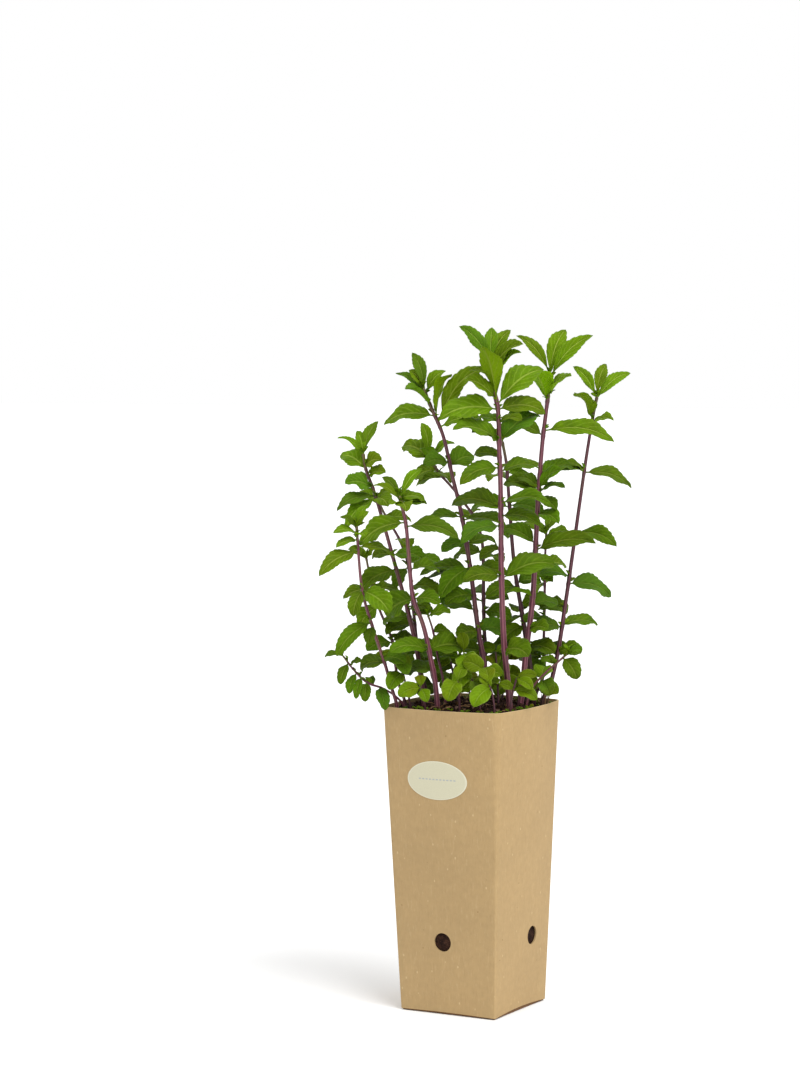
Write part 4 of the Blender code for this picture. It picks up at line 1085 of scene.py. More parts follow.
def add_stem(shell, stem, look):
    """A rounded square section with four grooves, carried up the stem and swollen at each leaf pair."""
    path = smooth_path(stem.path, STEM_STEP)
    ahead = unit_rows(np.gradient(path, axis=0))
    side = unit(np.cross(ahead[0], (0.35, 0.94, 0.0)))
    side = unit_rows(side - ahead * (ahead @ side)[:, None])
    other = np.cross(ahead, side)
    around = look.around
    angle = (np.arange(around) + 0.5) * 2.0 * math.pi / around
    square = (np.abs(np.cos(angle)) ** 5 + np.abs(np.sin(angle)) ** 5) ** -0.2
    flat = np.abs(np.cos(2.0 * angle)) ** 3
    width = np.interp(path[:, 2], stem.path[:, 2], stem.widths)
    joints = np.array(sorted({round(stem.root(leaf[0])[2]) for leaf in stem.leaves}), float)
    near = np.exp(-(((path[:, 2][:, None] - joints) / JOINT_HALF) ** 2)).max(axis=1)
    radius = 0.5 * width[:, None] * square * (1.0 - look.groove * 2.0 * flat * (1.0 - near[:, None]))
    radius = radius * (1.0 + look.swell * near[:, None])
    radius[-1] *= 0.35
    ring = np.cos(angle)[:, None] * side[:, None, :] + np.sin(angle)[:, None] * other[:, None, :]
    rings = path[:, None, :] + radius[..., None] * ring
    top = stem.path[-1, 2]
    tip = ease(path[:, 2], top - 0.22 * (top - SOIL_CROWN), top)
    # Painted shade: a stem is darker the further back its foot stands and lighter in front, and the low
    # sprigs are darkest
    shade = 1.0 if stem.low else 0.8 * ease(stem.rows[0, 1], -35.0, 30.0)
    uv = np.stack(np.broadcast_arrays(angle / (2.0 * math.pi), path[:, 2][:, None] / 100.0), axis=-1)
    # These values carry the finish's painted highlight along the corners and its painted shade by the stem's
    # place
    shell.add_tube(rings, uv, ridge=1.0 - flat, tip=tip[:, None], joint=near[:, None], shade=shade)


def leaf_finish(name, look, grown, bold, margin, worn):
    """Green blades with pale veins drawn from the leaf's own grid, a net between, painted shade midway
    between the side veins and a pale underside.

    Bold is the veins' share on a grown leaf, margin the share of a painted highlight, a pale rim along
    its edge, and worn that of its olive patches. Each leaf's tone shifts its green, and turns about one
    in ten, at random, to a painted shade green.
    """
    f = Finish(name)
    x, y, _ = f.split(f.node("ShaderNodeUVMap", uv_map="Surface"))
    signed = f.math("MULTIPLY_ADD", y, 2.0, -1.0)
    out = f.math("ABSOLUTE", signed)
    lag = f.math("POWER", out, VEIN_BEND)
    right = f.times(f.math("GREATER_THAN", y, 0.5), 0.15)
    phase = f.math("MULTIPLY_ADD", f.math("MULTIPLY_ADD", lag, -VEIN_SLANT, x), look.veins, right)
    gap = f.math("PINGPONG", phase, 0.5)
    side_vein = f.times(f.ramp(gap, 0.02, 0.15, 1.0, 0.0), f.ramp(out, 0.6, 1.0, 0.95, 0.2))
    midrib_line = f.ramp(out, 0.045, 0.12, 1.0, 0.0)
    tone = f.attribute("tone")
    age = f.attribute("age")
    under = f.attribute("under")
    along, layer = f.times(x, 2.4), f.times(tone, 9.0)
    grid = f.node("ShaderNodeCombineXYZ", {0: along, 1: signed, 2: layer})
    aged = f.noise(f.place(), 28.0, 2.0)
    net = f.ramp(f.cells(grid, 9.0, "DISTANCE_TO_EDGE"), 0.0, 0.14, 1.0, 0.0)
    mottle = f.noise(f.place(), 90.0, 3.0, 0.6)
    faint = f.times(side_vein, f.ramp(age, 0.0, 1.0, 0.45, 0.38))
    veins = f.math("MAXIMUM", faint, midrib_line)
    base = f.mix(age, look.young, grown)
    # Painted shade: the green darkened midway between the side veins, where the blade bulges, as the shading
    # of its quilting
    base = f.mix(f.times(f.ramp(gap, 0.05, 0.45), 0.35), base, f.shift(base, 0.66))
    base = f.shift(base, f.ramp(mottle, 0.25, 0.75, 0.82, 1.18))
    pale = f.mix(age, look.vein, tuple(0.72 * value for value in look.vein))
    base = f.mix(f.times(net, 0.03), base, pale)
    base = f.mix(f.times(veins, f.ramp(age, 0.0, 1.0, 0.85, bold)), base, pale)
    # Painted highlight: a pale rim along the blade's edge, as light caught by the cupped margin
    base = f.mix(f.ramp(out, 0.84, 0.97, 0.0, margin), base, pale)
    below = f.mix(age, tuple(1.45 * value for value in look.young), look.under)
    below = f.mix(f.times(veins, 0.55), below, pale)
    skin = f.mix(under, base, below)
    skin = f.mix(f.ramp(aged, 0.52, 0.78, 0.0, worn), skin, look.worn)
    # Painted shade: about one leaf in ten, chosen by its tone, darkened and cooled towards the shaded green
    chosen = f.math("PINGPONG", f.times(tone, 7.3), 1.0)
    skin = f.mix(f.ramp(chosen, 0.80, 0.90, 0.0, 0.5), skin, look.deep)
    skin = f.shift(skin, f.ramp(tone, 0.0, 1.0, 0.82, 1.16), f.ramp(tone, 0.0, 1.0, 0.492, 0.508))
    relief = f.math("MULTIPLY_ADD", veins, -0.6, f.times(net, -0.10))
    relief = f.math("ADD", relief, f.times(mottle, 0.5))
    rough = f.math("MULTIPLY_ADD", under, 0.25, f.ramp(mottle, 0.3, 0.7, 0.40, 0.54))
    normal = f.bump(relief, 0.0012, 0.9)
    return f.surface(Base_Color=skin, Roughness=rough, Specular_IOR_Level=0.07, Normal=normal)


def stem_finish(look):
    """Purple-brown stems, green near the tip, with a painted highlight along the ridges and painted shade
    down the grooves, on stems further back and on the low sprigs.
    """
    f = Finish(STEM_SKIN)
    ridge = f.attribute("ridge")
    streak = f.noise(f.scaled(f.place(), (1.0, 1.0, 0.08)), 1400.0, 2.0)
    patch = f.noise(f.place(), 35.0, 2.0)
    # Painted highlight along the ridges, painted shade down the grooves
    skin = f.mix(f.times(ridge, 0.75), look.dark, look.light)
    skin = f.mix(f.ramp(patch, 0.45, 0.80, 0.0, 0.22), skin, look.green)
    skin = f.mix(f.ramp(f.attribute("tip"), 0.6, 1.0, 0.0, 0.6), skin, look.green)
    skin = f.mix(f.times(f.attribute("joint"), 0.35), skin, look.dark)
    skin = f.uneven(skin, streak, 0.85, 1.15)
    # Painted shade by the stem's place: darker further back and on the low sprigs, lighter in front
    skin = f.shift(skin, f.ramp(f.attribute("shade"), 0.0, 1.0, 1.12, 0.5))
    normal = f.bump(streak, 0.0002, 0.5)
    return f.surface(Base_Color=skin, Roughness=0.4, Specular_IOR_Level=0.3, Normal=normal)


def leaf_age(stem, up):
    """0 for the leaves at a stem's tip, and 1 for those well below it or near the soil."""
    return max(ease(stem.rows[-1, 2] - up, 12.0, 105.0), 1.0 - ease(up, 330.0, 420.0))


def add_buds(shell, stem, look, draw):
    """Pairs of tiny leaves in the angles between leaf and stem, and a tuft at the stem's tip."""
    for leaf in stem.leaves:
        if draw.uniform() > BUD_SHARE or leaf[0] < SOIL_EDGE + 20.0:
            continue
        for turn in (-24.0, 26.0):
            size = draw.uniform(5.0, 9.5)
            heading = leaf[1] + turn + draw.uniform(-12.0, 12.0)
            small = (leaf[0] + 1.0, heading, size, size * draw.uniform(0.45, 0.85), size * 0.48, leaf[5])
            add_leaf(shell, stem.root(leaf[0] + 1.0), small, look, draw, 0, 0.15)
    for number in range(TIP_LEAVES):
        size = draw.uniform(7.0, 12.0)
        small = (stem.rows[-1, 2], number * 77.0, size, size * 0.88, size * 0.42, 20.0)
        add_leaf(shell, stem.path[-1] - UP, small, look, draw, 0, 0.0)


class CALAMINT_OT_tall_stems(bpy.types.Operator):
    """Tall leafy stems: square purple stems and toothed, veined leaves"""

    bl_idname = "calamint.tall_stems"
    bl_label = "Tall leafy stems"

    def execute(self, context):
        leaf_look, stem_look = context.scene.calamint_leaf, context.scene.calamint_stem
        leaf_skin = leaf_finish("calamint_leaf_green", leaf_look, leaf_look.grown, 0.5, 0.15, 0.12)
        stem_skin = stem_finish(stem_look)
        for number, stem in enumerate(PLANT):
            if stem.low:
                continue
            draw = np.random.default_rng(SEED + 100 + number)
            blades = Shell(*LEAF_VALUES)
            for leaf in stem.leaves:
                teeth = 8 if leaf[2] >= SMALL_LEAF else 5
                age = leaf_age(stem, leaf[0])
                add_leaf(blades, stem.root(leaf[0]), leaf, leaf_look, draw, teeth, age)
            add_buds(blades, stem, leaf_look, draw)
            stalk = Shell(*STEM_VALUES)
            add_stem(stalk, stem, stem_look)
            short = stem.name.replace("leafy_stem_", "")
            settle(blades.piece(f"leaves_{short}", leaf_skin), "leaf_green", stem.name)
            settle(stalk.piece(f"stem_{short}", stem_skin), "leaf_green", stem.name)
        return {"FINISHED"}


class CALAMINT_OT_low_sprigs(bpy.types.Operator):
    """Short sprigs of round leaves between the tall stems, and seedlings round the soil's edge"""

    bl_idname = "calamint.low_sprigs"
    bl_label = "Low sprigs"

    def execute(self, context):
        leaf_look, stem_look = context.scene.calamint_leaf, context.scene.calamint_stem
        leaf_skin = leaf_finish("calamint_low_leaf_green", leaf_look, leaf_look.low, 0.3, 0.6, 0.75)
        stem_skin = bpy.data.materials.get(STEM_SKIN) or stem_finish(stem_look)
        sprigs = [stem for stem in PLANT if stem.low]
        blades = Shell(*LEAF_VALUES)
        stalks = Shell(*STEM_VALUES)
        draw = np.random.default_rng(SEED + 200)
        for stem in sprigs:
            for leaf in stem.leaves:
                age = draw.uniform(0.55, 1.0)
                add_leaf(blades, stem.root(leaf[0]), leaf, leaf_look, draw, 5, age, 0.35)
            add_stem(stalks, stem, stem_look)
        names = [stem.name for stem in sprigs]
        settle(blades.piece("low_sprig_leaves", leaf_skin), "basal_leaf_green", *names)
        settle(stalks.piece("low_sprig_stems", stem_skin), "basal_leaf_green", *names)
        self.add_seedlings(draw, leaf_look, leaf_skin, context.scene.calamint_soil.lumps)
        return {"FINISHED"}

    def add_seedlings(self, draw, look, skin, lumps):
        """Pairs of tiny leaves on the soil, near its edge."""
        seedlings = Shell(*LEAF_VALUES)
        outline = pot_outline(SOIL_EDGE, 7.0, SOIL_STEPS)
        places = outline[draw.integers(0, len(outline), SEEDLINGS)]
        for x, y in places * draw.uniform(0.8, 1.0, (SEEDLINGS, 1)):
            root = np.array([x, y, lumpy_height(x, y, lumps) + 0.5])
            heading = draw.uniform(0.0, 180.0)
            for half in (0.0, 180.0):
                size = draw.uniform(3.5, 6.5)
                small = (SOIL_EDGE, heading + half, size, 0.45 * size, 0.7 * size, 30.0)
                add_leaf(seedlings, root, small, look, draw, 0, draw.uniform(0.3, 1.0))
        settle(seedlings.piece("seedlings", skin), "basal_leaf_green")


def carton_finish(look):
    """Brown board: mottled, with short light and dark fibres, a pale cut edge and soft creases."""
    f = Finish("brown_board")
    place = f.place()
    cloud = f.noise(place, 9.0, 3.0, 0.6)
    grain = f.noise(f.scaled(place, (1.0, 1.0, 0.45)), 1100.0, 3.0, 0.7)
    fibre = f.noise(f.scaled(place, (1.0, 1.0, 0.16)), 700.0, 2.0, 0.6)
    flecks = f.cells(f.scaled(place, (1.0, 1.0, 0.6)), 105.0)
    board = f.uneven(look.board, cloud, 0.96, 1.035)
    board = f.uneven(board, f.noise(place, 170.0, 3.0, 0.6), 0.965, 1.035)
    for value, low, high, share, laid in (
        (fibre, 0.56, 0.75, 0.22, look.light),
        (fibre, 0.44, 0.26, 0.18, look.dark),
        (flecks, 0.10, 0.06, 0.6, look.light),
        (f.cells(place, 62.0), 0.060, 0.040, 0.65, look.dark),
        (f.attribute("edge"), 0.3, 0.9, 0.8, look.cut),
        (f.attribute("crease"), 0.2, 1.0, 0.12, look.light),
    ):
        board = f.mix(f.ramp(value, low, high, 0.0, share), board, laid)
    height = f.math("ADD", f.times(grain, 0.6), f.times(fibre, 0.4))
    return f.surface(Base_Color=board, Roughness=0.82, Normal=f.bump(height, 0.00016, 0.45))


def wall_axes(wall):
    """Level unit vectors out of one of the four walls and along it."""
    angle = wall * math.pi / 2
    out = np.array([math.sin(angle), -math.cos(angle), 0.0])
    return out, np.array([math.cos(angle), math.sin(angle), 0.0])


def drill_holes(pot):
    """Cuts the round hole low in each wall with one Boolean, and applies it."""
    drills = bpy.data.collections.new("drills")
    bpy.context.scene.collection.children.link(drills)
    turn = np.arange(DRILL_SIDES)[:, None] * 2.0 * math.pi / DRILL_SIDES
    for wall, offset in enumerate(HOLE_OFFSETS):
        out, along = wall_axes(wall)
        ring = HOLE_RADIUS * (np.cos(turn) * along + np.sin(turn) * UP)
        ring = ring + out * POT_BASE_HALF + along * offset + UP * HOLE_HEIGHT
        drill = Shell()
        drill.add_tube(np.stack([ring - out * DRILL_REACH, ring + out * DRILL_REACH]))
        cutter = drill.piece(f"drill_{wall}")
        bpy.context.scene.collection.objects.unlink(cutter)
        drills.objects.link(cutter)
    cut = pot.modifiers.new("Holes", "BOOLEAN")
    cut.operation = "DIFFERENCE"
    cut.operand_type = "COLLECTION"
    cut.collection = drills
    cut.solver = "EXACT"
    graph = bpy.context.evaluated_depsgraph_get()
    mesh = bpy.data.meshes.new_from_object(pot.evaluated_get(graph))
    pot.modifiers.clear()
    pot.data = mesh
    for cutter in list(drills.objects):
        bpy.data.objects.remove(cutter)
    bpy.data.collections.remove(drills)


class CALAMINT_OT_carton(bpy.types.Operator):
    """Carton pot: bulged board walls with a cut rim, round holes and base flaps"""

    bl_idname = "calamint.carton"
    bl_label = "Carton pot"

    def execute(self, context):
        look = context.scene.calamint_carton
        steps = look.steps
        quarter = steps + 6
        heights = np.linspace(0.0, 1.0, look.levels) * (POT_HEIGHT - BOARD) + CARTON_LIFT
        section = [(height, 0.0) for height in heights]
        for drop, inset in ((0.12, 0.05), (0.0, 0.30), (0.0, BOARD - 0.30), (0.12, BOARD - 0.05)):
            section.append((POT_HEIGHT - drop, inset))
        section += [(height, BOARD) for height in heights[::-1]]
        index = np.arange(4 * quarter)
        along = (index % quarter) / steps * 2.0 - 1.0
        arch = look.arch * np.array([0.35, 1.0, 0.35, 1.0])[index // quarter]
        arch = arch * np.clip(1.0 - along**2, 0.0, 1.0)
        rings = []
        for height, inset in section:
            up = height + arch * (1.0 - ease(height, CARTON_LIFT, 12.0))
            rings.append(np.column_stack([pot_outline(height, inset, steps), up]))
        rings = np.array(rings)
        count = len(rings)
        edge = np.zeros(count)
        edge[look.levels : look.levels + 4] = 1.0
        corner = np.exp(-(((index % quarter) - steps - 3.0) / 1.1) ** 2)
        sharper = 1.0 - 0.7 * ease(rings[:, 0, 2], 60.0, 260.0)
        shell = Shell("edge", "crease")
        values = {"edge": np.repeat(edge, 4 * quarter), "crease": np.outer(sharper, corner).ravel()}
        shell.add(rings.reshape(-1, 3), (ring_quads(count, 4 * quarter, loop=True),), **values)
        walls = shell.piece("carton_walls", carton_finish(look))
        drill_holes(walls)
        smooth(walls.data, 40.0)
        settle(walls, "carton", "carton_pot")
        self.add_flaps(look)
        return {"FINISHED"}

    def add_flaps(self, look):
        """The flaps folded under the pot, one flat plate with a rounded edge, its board painted darker as
        shade.
        """
        f = Finish("flap_board_painted_shade")
        patch = f.noise(f.place(), 300.0, 3.0)
        # Painted shade: the flaps' board darkened as the shadow under the walls
        brown = f.uneven(look.flap, patch, 0.85, 1.1)
        skin = f.surface(Base_Color=brown, Roughness=0.85, Normal=f.bump(patch, 0.0003, 0.5))
        rings = []
        for inset, height in ((1.9, 0.0), (1.6, 0.25), (1.6, 3.6), (BOARD + 0.4, 3.8)):
            outline = pot_outline(0.0, inset, look.steps)
            rings.append(np.column_stack([outline, np.full(len(outline), height)]))
        flaps = Shell()
        flaps.add_tube(np.array(rings))
        settle(flaps.piece("base_flaps", skin, sharp=35.0), "carton", "carton_pot")


class CALAMINT_OT_label(bpy.types.Operator):
    """Oval paper label that follows the bulge of the wall, with a plain dotted line to write on"""

    bl_idname = "calamint.label"
    bl_label = "Oval label"

    def execute(self, context):
        look = context.scene.calamint_label
        turn = np.arange(look.around) * 2.0 * math.pi / look.around
        spread = np.array([0.02, 0.3, 0.6, 0.85, 0.965, 0.99, 1.0, 1.0, 0.5, 0.02])
        depth = np.array([0.45, 0.45, 0.45, 0.45, 0.45, 0.42, 0.30, 0.08, 0.08, 0.08])
        across = LABEL_ACROSS + 0.5 * LABEL_WIDE * spread[:, None] * np.cos(turn)
        height = LABEL_HEIGHT + 0.5 * LABEL_TALL * spread[:, None] * np.sin(turn)
        rings = np.stack([across, -wall_out(across, height) - depth[:, None], height], axis=-1)
        shell = Shell("border")
        shell.add_tube(rings[::-1], border=np.repeat(spread[::-1, None], look.around, axis=1))
        f = Finish("cream_paper")
        place = f.place()
        x, _, z = f.split(place)
        grain = f.noise(place, 1500.0, 3.0, 0.7)
        above = f.math("ABSOLUTE", f.math("SUBTRACT", z, (LABEL_HEIGHT + 1.0) * MM))
        aside = f.math("ABSOLUTE", f.math("SUBTRACT", x, LABEL_ACROSS * MM))
        line = f.ramp(above, 0.0005, 0.0007, 1.0, 0.0)
        inside = f.ramp(aside, 0.021, 0.0212, 1.0, 0.0)
        dots = f.ramp(f.math("PINGPONG", f.times(x, 260.0), 0.5), 0.16, 0.22)
        written = f.times(f.times(line, inside), f.times(dots, 0.75))
        paper = f.mix(f.ramp(f.attribute("border"), 0.95, 0.965), look.paper, look.border)
        paper = f.uneven(paper, grain, 0.95, 1.04)
        paper = f.mix(written, paper, look.line)
        skin = f.surface(Base_Color=paper, Roughness=0.6, Normal=f.bump(grain, 0.00008, 0.4))
        settle(shell.piece("oval_paper_label", skin, sharp=60.0), "label_paper", "oval_label")
        return {"FINISHED"}


def lumpy_height(x, y, lumps):
    """The soil's top: a low crown with lumps of three sizes."""
    crown = SOIL_CROWN - (SOIL_CROWN - SOIL_EDGE) * np.clip((x**2 + y**2) / SOIL_HALF**2, 0.0, 1.4)
    coarse = lattice_noise(x, y, 17.0, SEED + 31)
    middle = lattice_noise(x, y, 6.5, SEED + 32)
    fine = lattice_noise(x, y, 2.4, SEED + 33)
    return crown + lumps * (0.55 * coarse + 0.35 * middle + 0.28 * fine)


def soil_finish(look):
    """Dark damp soil with lighter patches and specks, and dry bits."""
    f = Finish("damp_soil")
    place = f.place()
    cloud = f.noise(place, 160.0, 4.0, 0.7)
    grain = f.noise(place, 900.0, 3.0, 0.7)
    specks = f.cells(place, 420.0)
    soil = f.mix(f.ramp(cloud, 0.42, 0.72, 0.0, 0.55), look.dark, look.light)
    soil = f.mix(f.ramp(specks, 0.22, 0.10, 0.0, 0.5), soil, look.light)
    soil = f.mix(f.times(f.attribute("pale"), 0.8), soil, look.dry)
    soil = f.uneven(soil, grain, 0.7, 1.25)
    normal = f.bump(grain, 0.0008, 0.9)
    return f.surface(Base_Color=soil, Roughness=0.92, Specular_IOR_Level=0.12, Normal=normal)


def add_crumbs(shell, centres, sizes, pale, draw):
    """Uneven twenty-sided crumbs at the centres, each squashed and turned by its own random frame."""
    t = GOLDEN
    corners = np.array([(-1, t, 0), (1, t, 0), (-1, -t, 0), (1, -t, 0), (0, -1, t), (0, 1, t)], float)
    corners = np.vstack([corners, [(0, -1, -t), (0, 1, -t), (t, 0, -1), (t, 0, 1), (-t, 0, -1), (-t, 0, 1)]])
    corners /= np.linalg.norm(corners[0])
    sides = np.array([
        (0, 11, 5), (0, 5, 1), (0, 1, 7), (0, 7, 10), (0, 10, 11), (1, 5, 9), (5, 11, 4),
        (11, 10, 2), (10, 7, 6), (7, 1, 8), (3, 9, 4), (3, 4, 2), (3, 2, 6), (3, 6, 8),
        (3, 8, 9), (4, 9, 5), (2, 4, 11), (6, 2, 10), (8, 6, 7), (9, 8, 1),
    ])
    count = len(centres)
    frames, _ = np.linalg.qr(draw.normal(size=(count, 3, 3)))
    frames[:, :, 0] *= np.sign(np.linalg.det(frames))[:, None]
    stretch = draw.uniform(0.65, 1.3, (count, 1, 3))
    rough = draw.uniform(0.75, 1.2, (count, 12, 1))
    points = corners[None] * rough * stretch * np.asarray(sizes)[:, None, None]
    points = np.einsum("nij,nkj->nki", frames, points) + centres[:, None, :]
    faces = sides[None] + 12 * np.arange(count)[:, None, None]
    shell.add(points.reshape(-1, 3), (faces.reshape(-1, 3),), pale=np.repeat(pale, 12))


class CALAMINT_OT_soil(bpy.types.Operator):
    """Potting soil: a lumpy top, crumbs, a rough side that shows in the pot's holes, and dry litter"""

    bl_idname = "calamint.soil"
    bl_label = "Soil and litter"

    def execute(self, context):
        look = context.scene.calamint_soil
        draw = np.random.default_rng(SEED + 300)
        inset = BOARD + FIT_GAP
        edge = pot_outline(SOIL_EDGE, inset + 0.2, SOIL_STEPS)
        count = len(edge)
        rings = []
        for height in np.arange(BASE_THICK + 1.2, SOIL_EDGE - 2.0, 3.0):
            level = np.full(count, height)
            rough = 0.6 + 0.6 * lattice_noise(np.arange(count) * 3.8, level, 4.0, SEED + 34)
            ring = pot_outline(height, inset, SOIL_STEPS) * (1.0 - rough / 60.0)[:, None]
            rings.append(np.column_stack([ring, level]))
        for share in np.linspace(1.0, 0.0, SOIL_RINGS + 1)[:-1]:
            ring = edge * share
            rings.append(np.column_stack([ring, lumpy_height(ring[:, 0], ring[:, 1], look.lumps)]))
        shell = Shell("pale")
        shell.add_tube(np.array(rings), pale=0.0)
        loose = Shell("pale")
        places = edge[draw.integers(0, count, look.crumbs)]
        places = places * 0.96 * np.sqrt(draw.uniform(0.0, 1.0, (look.crumbs, 1)))
        sizes = draw.uniform(0.6, 1.9, look.crumbs) ** 1.2
        heights = lumpy_height(places[:, 0], places[:, 1], look.lumps) + 0.3 * sizes
        pale = np.where(draw.uniform(size=look.crumbs) < 0.08, draw.uniform(0.2, 0.7, look.crumbs), 0.0)
        add_crumbs(loose, np.column_stack([places, heights]), sizes, pale, draw)
        for wall, offset in enumerate(HOLE_OFFSETS):
            out, along = wall_axes(wall)
            radius = HOLE_RADIUS * 0.92 * np.sqrt(draw.uniform(0.0, 1.0, HOLE_CRUMBS))
            turn = draw.uniform(0.0, 2.0 * math.pi, HOLE_CRUMBS)
            centres = (POT_BASE_HALF + 0.4 - draw.uniform(0.0, 1.6, HOLE_CRUMBS))[:, None] * out
            centres = centres + (offset + radius * np.cos(turn))[:, None] * along
            centres[:, 2] = HOLE_HEIGHT + radius * np.sin(turn)
            pale = np.where(draw.uniform(size=HOLE_CRUMBS) < 0.15, 0.4, 0.0)
            add_crumbs(loose, centres, draw.uniform(0.6, 1.7, HOLE_CRUMBS), pale, draw)
        skin = soil_finish(look)
        settle(shell.piece("soil_body", skin), "soil", "potting_soil")
        settle(loose.piece("soil_crumbs", skin, sharp=50.0), "soil", "potting_soil")
        self.add_litter(context, draw)
        return {"FINISHED"}

    def add_litter(self, context, draw):
        """Small dry leaves and short twigs that lie on the soil."""
        look, leaf_look = context.scene.calamint_soil, context.scene.calamint_leaf
        f = Finish("dry_litter")
        patch = f.noise(f.place(), 250.0, 3.0)
        dry = f.mix(f.attribute("tone"), look.dry, look.light)
        skin = f.surface(Base_Color=f.uneven(dry, patch, 0.7, 1.2), Roughness=0.8)
        litter = Shell(*LEAF_VALUES)
        for _ in range(DRY_LEAVES):
            x, y = draw.uniform(-DRY_SPREAD, DRY_SPREAD, 2)
            root = np.array([x, y, lumpy_height(x, y, look.lumps) + 0.8])
            size = draw.uniform(6.0, 13.0)
            flake = (0.0, draw.uniform(0.0, 360.0), size, draw.uniform(-0.5, 2.0), size * 0.45, 0.0)
            add_leaf(litter, root, flake, leaf_look, draw, 0, 1.0)
        for _ in range(TWIGS):
            x, y = draw.uniform(-TWIG_SPREAD, TWIG_SPREAD, 2)
            start = np.array([x, y, lumpy_height(x, y, look.lumps) + 0.5])
            step = direction(draw.uniform(0.0, 360.0)) * draw.uniform(7.0, 18.0)
            self.add_twig(litter, start, step, draw.uniform(0.3, 2.4), draw)
        for number in range(DRY_STALKS):
            x, y = DRY_CORNER - draw.uniform(0.0, 9.0, 2)
            start = np.array([x, y, SOIL_EDGE - 1.0])
            step = direction(draw.uniform(-60.0, 60.0)) * draw.uniform(2.0, 7.0)
            tip = self.add_twig(litter, start, step, draw.uniform(12.0, 24.0), draw)
            for turn in range(4):
                flake = (0.0, 90.0 * turn + 40.0 * number, draw.uniform(3.0, 4.5), 1.2, 2.2, 20.0)
                add_leaf(litter, tip - UP, flake, leaf_look, draw, 0, 1.0)
        settle(litter.piece("dry_litter", skin), "soil")

    def add_twig(self, litter, start, step, rise, draw):
        """A thin tapering twig from its start, along a level step and up by a rise. It gives its tip."""
        points = start + np.outer([0.0, 0.5, 1.0], step) + np.outer([0.0, 0.7, 1.0], UP * rise)
        path = smooth_path(points, 2.0)
        turn = np.arange(6) * math.pi / 3
        along = unit(points[-1] - points[0])
        across = unit(np.cross(along, (0.3, -0.9, 0.2)))
        ring = np.cos(turn)[:, None] * across + np.sin(turn)[:, None] * np.cross(along, across)
        width = draw.uniform(0.35, 0.8) * np.linspace(1.0, 0.6, len(path))
        rings = path[:, None, :] + ring * width[:, None, None]
        litter.add_tube(rings, age=1.0, tone=draw.uniform(), under=0.0)
        return points[-1]


def stand(name, data, right, up, back, place):
    """Links a camera or a light, its axes and its place given in metres."""
    obj = bpy.data.objects.new(name, data)
    bpy.context.scene.collection.objects.link(obj)
    obj.matrix_world = Matrix([*zip(right, up, back, place), (0.0, 0.0, 0.0, 1.0)])
    return obj


def photo_camera():
    """A camera with the photograph's place, aim and lens, worked out from the pot's corners."""
    height = POT_HEIGHT * MM
    yaw, pitch, roll = (math.radians(angle) for angle in (SIGHT_TURN, CAMERA_PITCH, CAMERA_ROLL))
    distance = CAMERA_DISTANCE * height
    place = (math.sin(yaw) * distance, -math.cos(yaw) * distance, CAMERA_HEIGHT * height)
    aim = yaw + math.radians(CAMERA_PAN)
    forward = np.array([-math.sin(aim) * math.cos(pitch), math.cos(aim) * math.cos(pitch), -math.sin(pitch)])
    right = np.array([math.cos(aim), math.sin(aim), 0.0])
    up = np.cross(right, forward)
    turned_right = right * math.cos(roll) + up * math.sin(roll)
    turned_up = up * math.cos(roll) - right * math.sin(roll)
    data = bpy.data.cameras.new("photo_camera")
    data.sensor_fit = "AUTO"
    data.sensor_width = CAMERA_SENSOR
    data.lens = CAMERA_LENS
    data.clip_end = CAMERA_END
    bpy.context.scene.camera = stand("photo_camera", data, turned_right, turned_up, -forward, place)


def soft_light(heading, climb, width, strength):
    """One wide, far light, its heading and climb in degrees measured from the eye's side."""
    light = bpy.data.lights.new("key_light", "SUN")
    light.angle = math.radians(width)
    light.energy = strength
    level = direction(270.0 + heading) * math.cos(math.radians(climb))
    back = level + UP * math.sin(math.radians(climb))
    right = unit(np.cross(UP, back))
    stand("key_light", light, right, np.cross(back, right), back, 2.0 * back)


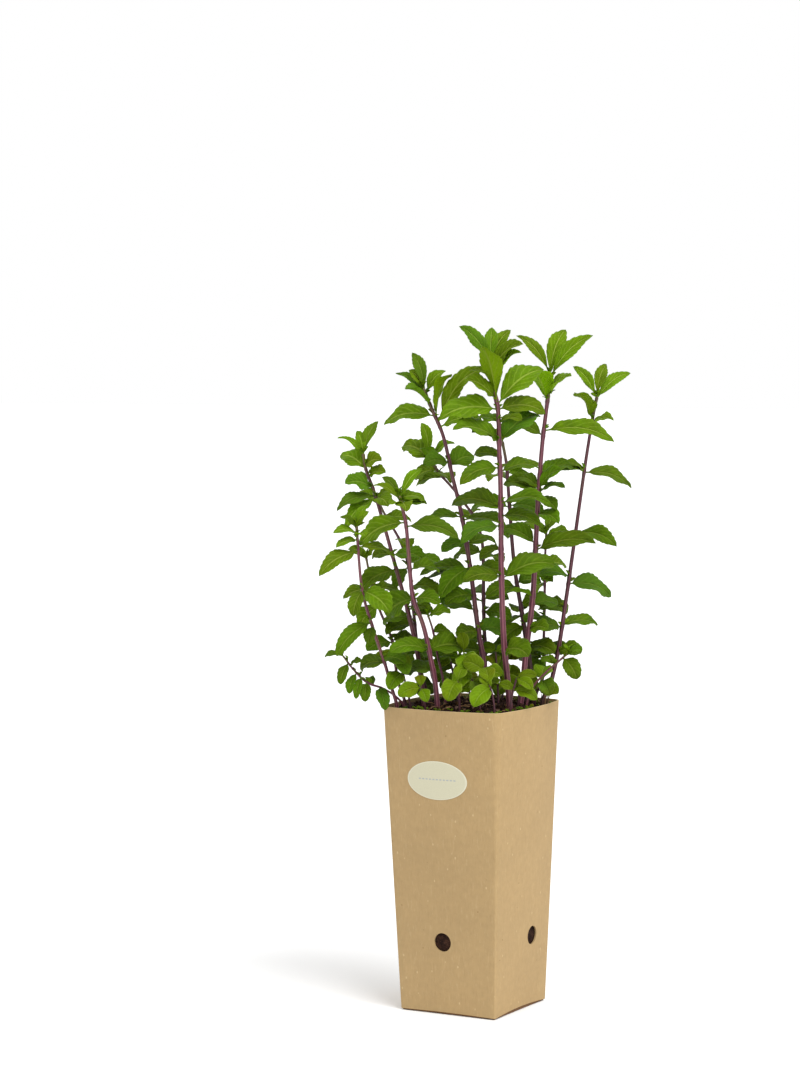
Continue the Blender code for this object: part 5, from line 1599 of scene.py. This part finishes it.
class CALAMINT_OT_stage(bpy.types.Operator):
    """Camera, plain pale floor and soft studio light"""

    bl_idname = "calamint.stage"
    bl_label = "Stage"

    def execute(self, context):
        look = context.scene.calamint_stage
        photo_camera()
        floor = Shell()
        corners = np.array([(-1, -1), (1, -1), (1, 1), (-1, 1)]) * FLOOR_HALF
        floor.add(np.column_stack([corners, np.full(4, -FLOOR_DROP)]), (np.array([[0, 1, 2, 3]]),))
        skin = Finish("pale_floor").surface(Base_Color=look.floor, Roughness=0.9)
        floor.piece("pale_floor", skin)
        world = bpy.data.worlds.new("even_white")
        world.use_nodes = True
        world.node_tree.nodes["Background"].inputs[0].default_value = (1.0, 1.0, 1.0, 1.0)
        world.node_tree.nodes["Background"].inputs[1].default_value = look.sky
        context.scene.world = world
        context.scene.view_settings.view_transform = "Standard"
        soft_light(KEY_HEADING, KEY_CLIMB, look.softness, look.key)
        return {"FINISHED"}


class CALAMINT_PT_panel(bpy.types.Panel):
    """Lists the pieces of the potted calamint"""

    bl_idname = "CALAMINT_PT_panel"
    bl_label = "Potted calamint"
    bl_space_type = "VIEW_3D"
    bl_region_type = "UI"
    bl_category = "Calamint"

    def draw(self, context):
        for operator in OPERATORS:
            self.layout.operator(operator.bl_idname)
        for name in SETTINGS:
            group = getattr(context.scene, name)
            box = self.layout.box()
            box.label(text=name.replace("calamint_", "").title())
            for key in group.bl_rna.properties.keys():
                if key not in ("rna_type", "name"):
                    box.prop(group, key)


SETTINGS = {
    "calamint_leaf": LeafSettings,
    "calamint_stem": StemSettings,
    "calamint_carton": CartonSettings,
    "calamint_label": LabelSettings,
    "calamint_soil": SoilSettings,
    "calamint_stage": StageSettings,
}
OPERATORS = (
    CALAMINT_OT_stage,
    CALAMINT_OT_carton,
    CALAMINT_OT_label,
    CALAMINT_OT_soil,
    CALAMINT_OT_tall_stems,
    CALAMINT_OT_low_sprigs,
)


def register():
    for group in SETTINGS.values():
        bpy.utils.register_class(group)
    for name, group in SETTINGS.items():
        setattr(bpy.types.Scene, name, PointerProperty(type=group))
    for operator in OPERATORS:
        bpy.utils.register_class(operator)
    bpy.utils.register_class(CALAMINT_PT_panel)


def unregister():
    bpy.utils.unregister_class(CALAMINT_PT_panel)
    for operator in reversed(OPERATORS):
        bpy.utils.unregister_class(operator)
    for name, group in reversed(list(SETTINGS.items())):
        delattr(bpy.types.Scene, name)
        bpy.utils.unregister_class(group)


def main():
    register()
    for operator in OPERATORS:
        group, name = operator.bl_idname.split(".")
        result = getattr(getattr(bpy.ops, group), name)()
        if result != {"FINISHED"}:
            raise RuntimeError(f"{operator.bl_label} wasn't made")


PLANT = lay_out_plant()

if __name__ == "__main__":
    main()
